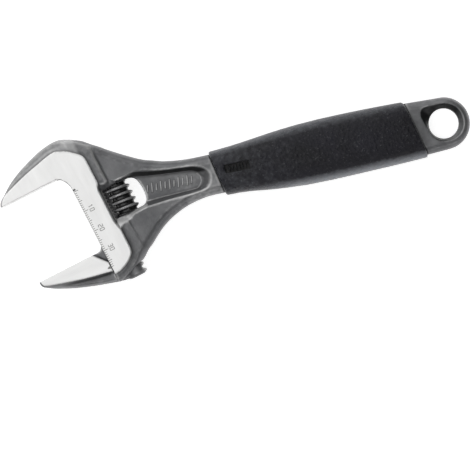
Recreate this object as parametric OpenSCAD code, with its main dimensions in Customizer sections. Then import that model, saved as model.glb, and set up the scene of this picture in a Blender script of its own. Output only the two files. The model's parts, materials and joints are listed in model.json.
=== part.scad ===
/* [Overall] */
// Length from the jaw tips to the end of the eye
overall_length = 218; // [190:1:262]
// Widest opening between the jaw faces
jaw_opening = 38; // [31:0.5:46]
// Angle between the jaws and the handle
head_angle = 15; // [12:0.5:18]
// Thickness across the ground faces of the head
head_thickness = 15; // [12.5:0.5:18]

/* [Handle] */
// Thickness of the forged shank beside the head
shank_thickness = 11.2; // [9:0.2:13.4]
// Thickness left between the two shank recesses
recess_floor_thickness = 5.6; // [4.6:0.2:6.8]
// Thickness of the eye at the end
eye_thickness = 9; // [7.5:0.5:10.8]
// Outside diameter of the eye
eye_diameter = 24; // [22:0.5:29]
// Diameter of the hanging hole
hang_hole_diameter = 13.8; // [11.5:0.2:16.6]
// Thickness of the moulded grip at its fullest
grip_thickness = 20; // [17:0.5:24]

/* [Adjuster] */
// Outside diameter of the worm over its threads
worm_diameter = 11.8; // [9.8:0.1:14.2]
// Length of the worm
worm_length = 14.1; // [12:0.1:17]
// Turns of the worm from fully open to fully closed
worm_turns = 12; // [10:1:14]
// Height of the worm thread
thread_depth = 1.55; // [1.3:0.05:1.85]
// Diameter of the pin the worm turns on
pin_diameter = 3; // [2.5:0.1:3.6]
// Diameter of the round toothed bar of the moving jaw
bar_diameter = 9.2; // [7.7:0.1:11]
// Thickness of the web that joins the jaw to its bar
web_thickness = 6; // [5:0.1:7.2]
// Wire diameter of the worm spring
spring_wire = 0.55; // [0.45:0.05:0.65]

/* [Clearances] */
// Gap round the sliding bar and beside its web
slide_gap = 0.1; // [0.05:0.01:0.2]
// Gap between the moving jaw and the front of the head
front_gap = 0.15; // [0.1:0.05:0.4]
// Gap left between the faces when fully closed
closed_gap = 0.05; // [0.02:0.01:0.1]
// Gap between the worm thread and the bar teeth
mesh_gap = 0.17; // [0.1:0.01:0.25]
// Gap at each end of the worm
worm_end_gap = 0.1; // [0.05:0.05:0.3]
// Radial gap between the worm and its pin
run_gap = 0.08; // [0.02:0.01:0.1]
// Gap round a seated pin, spring or grip
seat_gap = 0.03; // [0.01:0.01:0.1]

/* [Hidden] */
$fn = 64;
big = 60;
// head frame, measured back from the hanging hole
head_back = overall_length - 58;
long_k = head_back / 160;
head_half = head_thickness / 2;
edge_half = max(head_half - 2.1, bar_diameter / 2 + 0.6);
shank_half = shank_thickness / 2;
floor_half = recess_floor_thickness / 2;
eye_half = eye_thickness / 2;
eye_r = eye_diameter / 2;
hole_r = hang_hole_diameter / 2;
funnel_w = 2;
funnel_h = min(1.9, eye_half * 0.45);
tang_y = 7;
tang_z = min(4, eye_half - 0.4);
// jaws
face_y = 15.9;
front_x = -10.3;
tip_x = -43;
move_y = face_y - closed_gap - jaw_opening;
jaw_back_x = front_x - front_gap;
low_y = -40.1 + (move_y + 22.15);
// worm
pitch = jaw_opening / worm_turns;
worm_x = 8;
worm_r = worm_diameter / 2;
root_r = worm_r - thread_depth;
worm_top = 1.9;
worm_low = worm_top - worm_length;
crest_y = -0.8;
crest_w = pitch * 0.27;
root_w = pitch * 0.62;
pin_r = pin_diameter / 2;
worm_bore_r = pin_r + run_gap;
head_pin_r = pin_r + 0.75;
pin_top = 6.4;
pin_low = -29.7;
cup_r = min(pin_r + 1.35, root_r - 0.7);
cup_h = 4.2;
// bar
bar_r = bar_diameter / 2;
bar_tip_x = worm_x - root_r - mesh_gap;
bar_x = bar_tip_x - bar_r;
tooth_root_x = worm_x - worm_r - mesh_gap;
bar_top = move_y + 13.95;
web_half = web_thickness / 2;
web_top = move_y + 2.35;
slot_top = face_y - closed_gap + 2.35 + 0.5;
lead = atan(pitch / (2 * PI * (worm_r - thread_depth / 2)));
left_crest_y = crest_y + pitch / 2;
win_low = worm_low - worm_end_gap;
win_top = worm_top + worm_end_gap;
win_x = min(2.1, worm_x - worm_r);
lip_z = bar_r * 0.91;
lip_x = worm_x - sqrt(pow(worm_r + 0.25, 2) - pow(lip_z, 2));

// ---- outlines in the head frame: x' along the jaws, y' the way the jaw closes ----
function head_outline() = [
    [-42.8, 17], [-41.2, 19.2], [-38, 21.5],
    [-35, 23.6], [-30, 26.2], [-25, 28.2], [-20, 29.9], [-15, 31.3],
    [-10, 32], [-7, 32], [-5, 31.7], [0, 29.2], [3, 27],
    [5, 25], [7, 22.5], [7.9, 20], [8, -30.8], [7, -32.3], [4, -34.1],
    [0, -36], [-3, -37], [-6, -38], [-8, -38.7], [front_x, -38.9], [front_x - 4, -38.9]
];
function pad_outline() = [
    [tip_x, face_y - 3], [tip_x, 16.1], [-42.5, 17.6], [-41.4, 19], [-40, 19.6],
    [-37.8, 20.4], [-34.7, 21.45], [-29.7, 23], [-24.8, 24.4], [-19.75, 25.6],
    [-14.8, 26.75], [-11.6, 27.35], [-9.6, 27.4],
    [-5, 25.2], [-2, 22.8], [0, 20.9], [1, 19.3], [1.2, 18],
    [1.2, -27], [0.8, -28.5], [0, -30], [-2, -31.7], [-5, -33.3],
    [-8, -34.3], [front_x, -34.4], [front_x - 4, -34.4]
];
function jaw_notch() = [
    [-80, face_y], [-14.8, face_y], [-13.8, 15.5], [-12.9, 14.7], [-12, 13.6],
    [-11.2, 12.3], [-10.7, 11.1], [-10.4, 9.9], [front_x, 8.6],
    [front_x, -80], [-80, -80]
];
function slot_outline() = [
    [-15.1, 0], [-15.1, face_y + 0.3], [-12.7, face_y + 0.7], [-11.9, face_y + 1.6],
    [-11.2, slot_top], [bar_x, slot_top], [bar_x, -80], [-15.1, -80]
];
function window_inner() = [
    [win_x, win_top], [15, win_top], [16.2, 1.3], [17.2, 0.6], [17.9, -1],
    [18.5, -4], [18.5, -7], [18, -10], [17.2, -11.4], [16, win_low], [win_x, win_low]
];
// on the back the window's front side stays closed up to the worm
function back_inner() = [for (p = window_inner()) [max(p[0], lip_x), p[1]]];
function window_outer() = [
    [win_x - 3.9, 6.1], [0.4, 6.9], [1.4, 7], [8, 5.4], [15, 3.6], [18, 2.2], [19.8, -1],
    [20.6, -4], [20.6, -8], [19.8, -11.6], [18, -13.6], [14, -15], [6.5, -16.6],
    [1.4, -17.6], [-0.4, -17], [win_x - 3.9, -16.2]
];
function jaw_low(dy) = [for (p = [
    [-42.6, -24.4], [-41.8, -25.3], [-38, -27.8], [-35, -29.3], [-30, -31.6],
    [-25, -33.6], [-20, -35.3], [-15, -36.9]]) [p[0], p[1] + dy]];
function jaw_ground(dy) = [for (p = [
    [-42.6, -24.5], [-41.5, -25], [-37.8, -26.15], [-34.7, -27.05], [-29.7, -28.5],
    [-24.7, -29.8], [-19.8, -30.95], [-15, -31.9]]) [p[0], p[1] + dy]];

// ---- rounded section of a forged rail: [y, z] round a bar from lo to hi ----
function bevel(h) = [[0, 0.42], [0.10, 0.66], [0.26, 0.84], [0.48, 0.96], [0.8, 1]];
function rail_ring(hi, lo, h) = let (b = bevel(h), n = len(b)) concat(
    [for (i = [0 : n - 1]) [hi - b[i][0] * h, b[i][1] * h]],
    [for (i = [n - 1 : -1 : 0]) [lo + b[i][0] * h, b[i][1] * h]],
    [for (i = [0 : n - 1]) [lo + b[i][0] * h, -b[i][1] * h]],
    [for (i = [n - 1 : -1 : 0]) [hi - b[i][0] * h, -b[i][1] * h]]);
function grip_ring(hi, lo, h, n) = let (c = (hi + lo) / 2, w = (hi - lo) / 2)
    [for (i = [0 : n - 1]) let (a = 360 * i / n, e = 0.42)
        [c + w * sign(cos(a)) * pow(abs(cos(a)), e), h * sign(sin(a)) * pow(abs(sin(a)), e)]];

module loft(xs, rings) {
    n = len(rings[0]);
    m = len(xs);
    pts = [for (j = [0 : m - 1]) for (i = [0 : n - 1]) [xs[j], rings[j][i][0], rings[j][i][1]]];
    sides = [for (j = [0 : m - 2]) for (i = [0 : n - 1]) for (t = [0 : 1])
        let (a = j * n + i, b = j * n + (i + 1) % n, c = a + n, d = b + n)
        t == 0 ? [a, d, b] : [a, c, d]];
    cap0 = [for (i = [0 : n - 1]) i];
    cap1 = [for (i = [n - 1 : -1 : 0]) (m - 1) * n + i];
    polyhedron(points = pts, faces = concat(sides, [cap0], [cap1]));
}

module in_head() {
    translate([-head_back, 0, 0]) rotate([0, 0, head_angle]) children();
}

module slab(h, outline) {
    translate([0, 0, -h]) linear_extrude(2 * h) polygon(outline);
}

// cylinder along +y' starting at y0
module rod(x, y0, y1, r) {
    translate([x, y0, 0]) rotate([-90, 0, 0]) cylinder(h = y1 - y0, r = r);
}

// ---- shank stations along the handle: x, top edge, bottom edge ----
function shank_stations() = [
    [-162, 24.2, -32.5], [-158.5, 22.9, -34.8], [-155.4, 21.5, -36], [-152.6, 20.1, -35.3],
    [-150, 18.65, -33.8], [-147, 16.9, -31.5],
    [-145, 15.9, -29.6], [-142.4, 14.6, -26.9], [-140, 13.3, -24.4], [-138, 12.5, -22.3],
    [-135.5, 11.5, -19.9], [-132.5, 10.6, -17.6], [-130, 10, -16], [-126, 9.3, -13.9],
    [-122, 8.8, -12.3], [-118, 8.55, -11.2], [-114, 8.45, -10.5], [-110, 8.45, -10.15],
    [-105, 8.5, -10.1], [-100, 8.6, -10.2]
];
module shank() {
    s = shank_stations();
    loft([for (p = s) p[0] * long_k],
        [for (p = s) rail_ring(p[1], p[2], shank_half)]);
}
function recess_rim() = [
    [-149, 8.6], [-143, 7.5], [-136, 6.4], [-128, 5.6], [-120, 5.1], [-115.5, 4.4],
    [-112.2, 3.1], [-110, 1.2], [-109.2, -1], [-109.6, -3.4], [-111, -5.6],
    [-113.4, -7.1], [-120, -7.6], [-130, -8.1], [-140, -9.1], [-149, -10.4]
];
function recess_floor() = [
    [-149, 5.8], [-140, 4.6], [-130, 3.6], [-120, 2.8], [-117, 2.3], [-114.8, 1],
    [-113.7, -1], [-114, -3], [-115.2, -4.6], [-117.4, -5.4], [-130, -5.8],
    [-140, -6.3], [-149, -6.8]
];
module recess(side) {
    hull() {
        translate([0, 0, side > 0 ? shank_half : -shank_half - 1])
            linear_extrude(1) polygon([for (p = recess_rim()) [p[0] * long_k, p[1]]]);
        translate([0, 0, side > 0 ? floor_half : -floor_half - 0.05])
            linear_extrude(0.05) polygon([for (p = recess_floor()) [p[0] * long_k, p[1]]]);
    }
}
module window_flare(side) {
    low = side > 0 ? window_inner() : back_inner();
    high = side > 0 ? window_outer() : concat([[lip_x - 0.4, 6.6]],
        [for (p = window_outer()) if (p[0] > lip_x + 1) p], [[lip_x - 0.4, -17.1]]);
    hull() {
        translate([0, 0, side * 3.3]) linear_extrude(0.1, center = true) polygon(low);
        translate([0, 0, side * (head_half + 0.5)]) linear_extrude(0.1, center = true) polygon(high);
    }
}

// ---- eye ----
function arc(r, a0, a1, n) = [for (k = [0 : n]) let (a = a0 + (a1 - a0) * k / n) [r * cos(a), r * sin(a)]];
module eye() {
    hull() {
        slab(eye_half * 0.5, concat([[-24, eye_r + 0.7]], [[-24, -eye_r - 0.7]], arc(eye_r, -92, 92, 36)));
        slab(eye_half, concat([[-24, eye_r - 1.1]], [[-24, -eye_r + 1.1]], arc(eye_r - 1.9, -91, 91, 36)));
    }
}
module eye_hole() {
    cylinder(h = 4 * eye_half, r = hole_r, center = true);
    rotate_extrude() polygon([
        [0, eye_half - funnel_h], [hole_r, eye_half - funnel_h],
        [hole_r + funnel_w, eye_half], [hole_r + funnel_w, eye_half + 2], [0, eye_half + 2]]);
    rotate_extrude() polygon([
        [0, -eye_half - 2], [hole_r + funnel_w, -eye_half - 2],
        [hole_r + funnel_w, -eye_half], [hole_r, funnel_h - eye_half], [0, funnel_h - eye_half]]);
    for (s = [-1, 1]) translate([-5.6, 5, s * eye_half]) scale(1) mirror([0, 0, s > 0 ? 0 : 1])
        rotate_extrude() polygon([[0, -funnel_h], [1.9, -funnel_h], [3.9, 0], [3.9, 2], [0, 2]]);
}

// slanted band of the handle that the grip takes up; g trims or grows both ends
function slant(g) = [
    [-109.1 * long_k - g, 14], [-103.2 * long_k - g, -15],
    [-9.7 + g, -15], [-16.7 + g, 14]
];
module body() color([0.56, 0.57, 0.58]) {
    difference() {
        union() {
            in_head() hull() {
                slab(edge_half, head_outline());
                slab(head_half, pad_outline());
            }
            difference() {
                union() {
                    shank();
                    eye();
                }
                slab(big, slant(0));
            }
            translate([-110 * long_k, -tang_y, -tang_z])
                cube([110 * long_k - 11, 2 * tang_y, 2 * tang_z]);
        }
        in_head() {
            slab(big, jaw_notch());
            slab(web_half + slide_gap, slot_outline());
            rod(bar_x, -80, 60, bar_r + slide_gap);
            slab(big, back_inner());
            translate([0, 0, -lip_z]) linear_extrude(lip_z + big) polygon(window_inner());
            window_flare(1);
            window_flare(-1);
            rod(worm_x, win_low - 60, pin_top + seat_gap, pin_r + seat_gap);
            rod(worm_x, -60, pin_low + 1.8, head_pin_r + seat_gap);
        }
        recess(1);
        recess(-1);
        eye_hole();
    }
}

// ---- moving jaw: jaw block, web and toothed round bar ----
module bar_blank() {
    translate([bar_x, low_y, 0]) rotate([-90, 0, 0]) rotate_extrude() polygon([
        [0, 0], [bar_r - 0.7, 0], [bar_r, 0.7], [bar_r, bar_top - low_y - 1.2],
        [bar_r - 1.2, bar_top - low_y], [0, bar_top - low_y]]);
}
module tooth_gap() {
    gr = pitch - root_w + 0.25 + mesh_gap * 2;
    wide = pitch - crest_w;
    tip = crest_w + 2 * mesh_gap;
    over = (tooth_root_x - bar_tip_x) * -1;
    mouth = root_w + 2 * mesh_gap * 0.9;
    rotate([lead, 0, 0]) translate([0, 0, -bar_r * 1.5]) linear_extrude(bar_r * 3) polygon([
        [tooth_root_x, -tip / 2], [bar_tip_x + 0.3, -mouth / 2 - 0.3 * (mouth - tip) / (2 * over)],
        [bar_tip_x + 0.3, mouth / 2 + 0.3 * (mouth - tip) / (2 * over)], [tooth_root_x, tip / 2]]);
}
module moving_jaw() color([0.6, 0.61, 0.62]) {
    dy = move_y + 22.15;
    in_head() difference() {
        union() {
            hull() {
                slab(head_half - 2.1, concat(jaw_low(dy), [
                    [jaw_back_x, move_y - 16], [jaw_back_x, move_y - 14]]));
                slab(head_half, concat([[tip_x, move_y]], jaw_ground(dy), [
                    [jaw_back_x, move_y - 10.6], [jaw_back_x, move_y - 6.3],
                    [-15.4, move_y - 0.4], [-15.8, move_y]]));
            }
            slab(web_half, [
                [-20, move_y - 1.5], [-15.3, move_y - 0.15], [-12.1, move_y + 0.15], [-11.1, move_y + 1.1],
                [-10.5, web_top], [bar_x, web_top], [bar_x, low_y + 0.5], [-6, low_y + 0.8],
                [-8.4, low_y + 1.2], [-14, low_y + 3.4], [-20, low_y + 8]]);
            bar_blank();
        }
        for (k = [0 : 40]) if (left_crest_y - k * pitch > low_y - 1.2 && left_crest_y - k * pitch < bar_top + 1.2)
            translate([0, left_crest_y - k * pitch, 0]) tooth_gap();
    }
}

// ---- worm: one closed thread surface, left hand, with its ends cut flat ----
rows = 4;
wn = 36;
turns_up = ceil((worm_top - crest_y) / pitch) + 2;
turns_dn = ceil((crest_y - worm_low) / pitch) + 2;
wk = rows * (turns_up + turns_dn);
function row_off(m) = m == 0 ? -root_w / 2 : m == 1 ? -crest_w / 2 : m == 2 ? crest_w / 2 : root_w / 2;
function row_r(m) = (m == 0 || m == 3) ? root_r : worm_r;
function row_y(j, i) = crest_y + pitch * (floor(i / rows) - turns_dn) + row_off(i % rows) - pitch * (j / wn - 0.25);
function prof(j, y) = let (u = (y - crest_y + pitch * (j / wn - 0.25)) / pitch, f = abs(u - round(u)) * pitch)
    f <= crest_w / 2 ? worm_r : f >= root_w / 2 ? root_r :
    worm_r - thread_depth * (f - crest_w / 2) / (root_w / 2 - crest_w / 2);
function vid(j, i) = let (jj = j == wn ? 0 : j, ii = j == wn ? i - rows : i, y = row_y(jj, ii))
    (ii < 0 || y <= worm_low + 0.02) ? wn * wk + jj :
    (y >= worm_top - 0.02) ? wn * wk + wn + jj : jj * wk + ii;
function at(j, y, r) = let (a = 360 * j / wn) [worm_x + r * sin(a), y, r * cos(a)];
function tri_ok(t) = t[0] != t[1] && t[1] != t[2] && t[0] != t[2];
module worm_thread() {
    pts = concat(
        [for (j = [0 : wn - 1]) for (i = [0 : wk - 1]) at(j, row_y(j, i), row_r(i % rows))],
        [for (j = [0 : wn - 1]) at(j, worm_low, prof(j, worm_low))],
        [for (j = [0 : wn - 1]) at(j, worm_top, prof(j, worm_top))]);
    quads = [for (j = [0 : wn - 1]) for (i = [0 : wk - 2]) for (t = [0 : 1])
        t == 0 ? [vid(j, i), vid(j + 1, i + 1), vid(j + 1, i)] : [vid(j, i), vid(j, i + 1), vid(j + 1, i + 1)]];
    sides = [for (t = quads) if (tri_ok(t)) t];
    low = [for (j = [wn - 1 : -1 : 0]) wn * wk + j];
    top = [for (j = [0 : wn - 1]) wn * wk + wn + j];
    polyhedron(points = pts, faces = concat(sides, [low], [top]));
}
module worm() color([0.1, 0.1, 0.11]) in_head() difference() {
    worm_thread();
    rod(worm_x, worm_low - 5, worm_top + 5, worm_bore_r);
    rod(worm_x, worm_top - cup_h, worm_top + 5, cup_r);
}

module worm_pin() color([0.32, 0.32, 0.34]) in_head() difference() {
    union() {
        rod(worm_x, pin_low + 1, pin_top, pin_r);
        rod(worm_x, pin_low, pin_low + 1.8 - seat_gap, head_pin_r);
    }
    translate([worm_x - 0.3, pin_low - 1, -head_pin_r - 1]) cube([0.6, 1.7, 2 * head_pin_r + 2]);
}

// ---- spring in the cup of the worm ----
sp_turns = 4.5;
sp_n = 14;
sp_m = 8;
sp_r = (pin_r + cup_r) / 2 + 0.02;
sp_y0 = worm_top - cup_h + spring_wire / 2 + 0.04;
sp_y1 = win_top - spring_wire / 2 - 0.04;
function sp_at(s) = let (a = 360 * sp_turns * s) [sp_r * cos(a), sp_y0 + (sp_y1 - sp_y0) * s, sp_r * sin(a)];
function sp_ring(s) = let (a = 360 * sp_turns * s, c = sp_at(s), w = spring_wire / 2)
    [for (i = [0 : sp_m - 1]) let (b = 360 * i / sp_m)
        [c[0] + w * cos(b) * cos(a), c[1] + w * sin(b), c[2] + w * cos(b) * sin(a)]];
module worm_spring() color([0.7, 0.7, 0.72]) in_head() translate([worm_x, 0, 0]) {
    m = ceil(sp_turns * sp_n);
    pts = [for (j = [0 : m]) for (p = sp_ring(j / m)) p];
    sides = [for (j = [0 : m - 1]) for (i = [0 : sp_m - 1]) for (t = [0 : 1])
        let (a = j * sp_m + i, b = j * sp_m + (i + 1) % sp_m, c = a + sp_m, d = b + sp_m)
        t == 0 ? [a, d, b] : [a, c, d]];
    polyhedron(points = pts, faces = concat(sides,
        [[for (i = [0 : sp_m - 1]) i]], [[for (i = [sp_m - 1 : -1 : 0]) m * sp_m + i]]));
}

// ---- moulded grip over the tang ----
function grip_stations() = [
    [-112, 9.5, -11.1, 0.86], [-108, 9.9, -11.3, 0.88], [-104, 10, -11.4, 0.89], [-98, 10.3, -11.5, 0.9],
    [-92, 10.9, -11.9, 0.92], [-86, 11.6, -12.8, 0.94], [-80, 12.3, -13.5, 0.96],
    [-74, 13, -14, 0.98], [-66, 13.6, -14.5, 0.99], [-56, 13.9, -14.6, 1], [-46, 14, -14.5, 1],
    [-36, 13.95, -14.3, 0.99], [-28, 13.8, -14.1, 0.97], [-20, 13.6, -13.9, 0.94],
    [-14, 13.3, -13.6, 0.9], [-8, 13, -13.4, 0.88]
];
module grip() color([0.17, 0.17, 0.19]) {
    s = grip_stations();
    difference() {
        intersection() {
            loft([for (p = s) p[0] * long_k], [for (p = s) grip_ring(p[1], p[2], p[3] * grip_thickness / 2, 28)]);
            slab(big, slant(-seat_gap));
        }
        translate([-130 * long_k, -tang_y - seat_gap, -tang_z - seat_gap])
            cube([135 * long_k, 2 * (tang_y + seat_gap), 2 * (tang_z + seat_gap)]);
    }
}

body();
moving_jaw();
worm();
worm_pin();
worm_spring();
grip();
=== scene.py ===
"""Visual model of an adjustable wrench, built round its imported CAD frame."""

import json
import logging
import math
from dataclasses import dataclass, field
from enum import Enum
from typing import Callable, Sequence

import bpy
import numpy as np
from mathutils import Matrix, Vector

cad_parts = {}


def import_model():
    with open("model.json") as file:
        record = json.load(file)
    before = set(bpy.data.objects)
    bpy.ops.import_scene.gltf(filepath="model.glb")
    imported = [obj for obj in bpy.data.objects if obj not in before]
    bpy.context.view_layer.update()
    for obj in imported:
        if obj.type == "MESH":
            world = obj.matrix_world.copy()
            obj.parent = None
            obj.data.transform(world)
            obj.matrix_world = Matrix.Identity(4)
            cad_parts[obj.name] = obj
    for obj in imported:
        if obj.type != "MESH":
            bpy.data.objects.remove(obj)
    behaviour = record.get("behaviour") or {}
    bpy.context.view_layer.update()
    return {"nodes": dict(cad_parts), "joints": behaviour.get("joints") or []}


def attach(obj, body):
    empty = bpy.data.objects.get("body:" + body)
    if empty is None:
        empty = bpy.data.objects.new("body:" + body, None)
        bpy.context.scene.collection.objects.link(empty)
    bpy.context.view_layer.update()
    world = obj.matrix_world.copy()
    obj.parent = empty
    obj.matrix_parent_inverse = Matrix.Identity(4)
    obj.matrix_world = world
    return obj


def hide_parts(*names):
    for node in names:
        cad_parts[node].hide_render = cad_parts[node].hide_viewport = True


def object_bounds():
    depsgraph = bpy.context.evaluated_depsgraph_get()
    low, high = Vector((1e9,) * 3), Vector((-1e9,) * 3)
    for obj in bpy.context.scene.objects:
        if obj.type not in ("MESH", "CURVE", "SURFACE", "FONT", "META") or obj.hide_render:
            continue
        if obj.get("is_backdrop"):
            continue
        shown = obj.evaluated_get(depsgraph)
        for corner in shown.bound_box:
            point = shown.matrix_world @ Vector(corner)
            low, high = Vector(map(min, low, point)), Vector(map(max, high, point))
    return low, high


LOG = logging.getLogger("wrench")
MM = 0.001
Array = np.ndarray
Point = tuple[float, float]


# --------------------------------------------------------------------------- outlines and fields


def curve(points: Sequence[Point], per_span: int = 5) -> list[Point]:
    """Runs a smooth open curve through points.

    Args:
        points: the points the curve passes through.
        per_span: how many pieces each span is cut into.

    Returns:
        The points of the curve, first and last included.
    """
    p = np.array(points, float)
    q = np.vstack([2 * p[0] - p[1], p, 2 * p[-1] - p[-2]])
    out: list[Point] = []
    for i in range(1, len(q) - 2):
        a, b, c, d = q[i - 1], q[i], q[i + 1], q[i + 2]
        for k in range(per_span):
            t = k / per_span
            v = 0.5 * (2 * b + (c - a) * t + (2 * a - 5 * b + 4 * c - d) * t**2
                       + (3 * b - a - 3 * c + d) * t**3)
            out.append((float(v[0]), float(v[1])))
    out.append((float(p[-1][0]), float(p[-1][1])))
    return out


def distance_to(outline: Sequence[Point], x: Array, y: Array) -> Array:
    """Signed distance from every point of a plane to a closed outline.

    Args:
        outline: the corners in order; the last joins the first.
        x: first coordinate of every point.
        y: second coordinate of every point.

    Returns:
        The distance, below zero inside.
    """
    best = np.full(x.shape, 1e9, np.float32)
    inside = np.zeros(x.shape, bool)
    pts = [np.array(p, float) for p in outline]
    for a, b in zip(pts, pts[1:] + pts[:1]):
        e = b - a
        length = float(e @ e)
        if length < 1e-12:
            continue
        wx, wy = x - a[0], y - a[1]
        t = np.clip((wx * e[0] + wy * e[1]) / length, 0, 1)
        best = np.minimum(best, (wx - t * e[0]) ** 2 + (wy - t * e[1]) ** 2)
        if abs(e[1]) > 1e-12:
            crosses = (y >= min(a[1], b[1])) & (y < max(a[1], b[1]))
            inside ^= crosses & (x < a[0] + (y - a[1]) * e[0] / e[1])
    best = np.sqrt(best)
    return np.where(inside, -best, best).astype(np.float32)


def soft_min(a: Array | float, b: Array | float, k: float) -> Array:
    """The smaller of two fields, blended over a width of k."""
    h = np.maximum(k - np.abs(a - b), 0.0) / k
    return np.minimum(a, b) - h * h * k * 0.25


def soft_max(a: Array | float, b: Array | float, k: float) -> Array:
    """The larger of two fields, blended over a width of k."""
    return -soft_min(-a, -b, k)


def between(inner: Array, outer: Array) -> Array:
    """How far a point is from an inner outline to an outer one.

    Args:
        inner: signed distance to the inner outline.
        outer: signed distance to the outer outline.

    Returns:
        0 inside the inner outline, 1 on the outer one, and rising beyond it.
    """
    t = np.clip(inner, 0, None) / np.maximum(np.clip(inner, 0, None) - np.minimum(outer, -1e-4), 1e-4)
    return np.where(outer >= 0, 1.0 + outer, np.where(inner <= 0, 0.0, t)).astype(np.float32)


@dataclass
class Block:
    """A box of sample points, in millimetres, that a solid is carved in."""

    low: tuple[float, float, float]
    high: tuple[float, float, float]
    step: float
    x: Array = field(init=False)
    y: Array = field(init=False)
    z: Array = field(init=False)

    def __post_init__(self) -> None:
        """Lays out the sample points, evenly about the middle plane."""
        nx, ny = (int(math.ceil((self.high[i] - self.low[i]) / self.step)) + 1 for i in (0, 1))
        nz = int(math.ceil(self.high[2] / self.step))
        xs = self.low[0] + self.step * np.arange(nx, dtype=np.float32)
        ys = self.low[1] + self.step * np.arange(ny, dtype=np.float32)
        zs = self.step * (np.arange(-nz, nz, dtype=np.float32) + 0.5)
        self.x, self.y = np.meshgrid(xs, ys, indexing="ij")
        self.z = zs

    def relief(self, height: Array) -> Array:
        """Field of a solid that reaches height to both sides of the middle plane.

        Args:
            height: the height over each point of the plan.

        Returns:
            The field, below zero inside the solid.
        """
        gx, gy = np.gradient(height, self.step)
        lean = np.sqrt(1 + np.minimum(gx * gx + gy * gy, 9.0)).astype(np.float32)
        return (np.abs(self.z)[None, None, :] - height[:, :, None]) / lean[:, :, None]

    def wall(self, plan: Array) -> Array:
        """Field of an upright wall with that plan."""
        return plan[:, :, None]

    def net(self, solid: Array) -> tuple[Array, Array]:
        """Meshes the surface where a field is zero.

        Args:
            solid: the field, below zero inside the solid.

        Returns:
            The vertices in millimetres and the four-sided faces.
        """
        f = solid
        inside = f < 0
        near = np.zeros(tuple(n - 1 for n in f.shape), np.int8)
        corners = [(i, j, k) for i in (0, 1) for j in (0, 1) for k in (0, 1)]
        for i, j, k in corners:
            near += inside[i : f.shape[0] - 1 + i, j : f.shape[1] - 1 + j, k : f.shape[2] - 1 + k]
        ci, cj, ck = np.nonzero((near > 0) & (near < 8))
        number = np.full(near.shape, -1, np.int32)
        number[ci, cj, ck] = np.arange(len(ci))
        total = np.zeros((len(ci), 3), np.float64)
        count = np.zeros(len(ci), np.float64)
        for n, p in enumerate(corners):
            for q in corners[n + 1 :]:
                if sum(abs(a - b) for a, b in zip(p, q)) != 1:
                    continue
                a = f[ci + p[0], cj + p[1], ck + p[2]]
                b = f[ci + q[0], cj + q[1], ck + q[2]]
                hit = (a < 0) != (b < 0)
                t = np.where(hit, a / np.where(hit, a - b, 1.0), 0.0)
                for axis in range(3):
                    total[:, axis] += hit * (p[axis] + t * (q[axis] - p[axis]))
                count += hit
        total /= count[:, None]
        base = np.array([self.x[0, 0], self.y[0, 0], self.z[0]], float)
        verts = base + self.step * (total + np.stack([ci, cj, ck], 1))
        faces = []
        for axis in range(3):
            u, v = (axis + 1) % 3, (axis + 2) % 3
            lo = [slice(1, -1)] * 3
            hi = [slice(1, -1)] * 3
            lo[axis], hi[axis] = slice(0, -1), slice(1, None)
            change = inside[tuple(lo)] != inside[tuple(hi)]
            where = list(np.nonzero(change))
            leaving = inside[tuple(lo)][tuple(where)]
            for m in (u, v):
                where[m] = where[m] + 1
            quad = []
            for du, dv in ((-1, -1), (0, -1), (0, 0), (-1, 0)):
                at = list(where)
                at[u], at[v] = at[u] + du, at[v] + dv
                quad.append(number[tuple(at)])
            q = np.stack(quad, 1)
            q[~leaving] = q[~leaving][:, ::-1]
            faces.append(q)
        return verts, np.concatenate(faces)

    def sample(self, values: Array, verts: Array) -> Array:
        """Reads a field of this block at some points, between its samples.

        Args:
            values: the field.
            verts: the points, in the block's axes.

        Returns:
            One value per point.
        """
        base = np.array([self.x[0, 0], self.y[0, 0], self.z[0]], float)
        p = (verts - base) / self.step
        i = np.clip(np.floor(p).astype(int), 0, np.array(values.shape) - 2)
        w = p - i
        out = np.zeros(len(verts))
        for a in (0, 1):
            for b in (0, 1):
                for c in (0, 1):
                    share = (w[:, 0] if a else 1 - w[:, 0]) * (w[:, 1] if b else 1 - w[:, 1])
                    share = share * (w[:, 2] if c else 1 - w[:, 2])
                    out += share * values[i[:, 0] + a, i[:, 1] + b, i[:, 2] + c]
        return out


def spread(values: Array, reach: int) -> Array:
    """Averages a field over a small box, one axis after another.

    Args:
        values: the field.
        reach: how many samples the box reaches to each side.

    Returns:
        The averaged field.
    """
    out = values.astype(np.float32)
    for axis in range(3):
        acc = out.copy()
        for k in range(1, reach + 1):
            acc += np.roll(out, k, axis) + np.roll(out, -k, axis)
        out = acc / (2 * reach + 1)
    return out


# --------------------------------------------------------------------------- meshes


def make_piece(name: str, verts: Array, faces: Sequence[Sequence[int]] | Array,
        smooth: bool = True) -> bpy.types.Object:
    """Makes a mesh object from points in millimetres.

    Args:
        name: the piece's name.
        verts: one row per vertex, in millimetres.
        faces: vertex numbers of each face.
        smooth: whether its faces shade smoothly.

    Returns:
        The new object, linked to the scene.
    """
    mesh = bpy.data.meshes.new(name)
    mesh.from_pydata((np.asarray(verts) * MM).tolist(), [],
        np.asarray(faces).tolist() if isinstance(faces, np.ndarray) else list(faces))
    mesh.validate()
    mesh.update()
    mesh.polygons.foreach_set("use_smooth", [smooth] * len(mesh.polygons))
    obj = bpy.data.objects.new(name, mesh)
    bpy.context.scene.collection.objects.link(obj)
    return obj


def store(obj: bpy.types.Object, name: str, values: Array) -> None:
    """Keeps one number per vertex on a mesh, for its material to read."""
    layer = obj.data.attributes.new(name, "FLOAT", "POINT")
    layer.data.foreach_set("value", np.asarray(values, np.float32))


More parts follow.
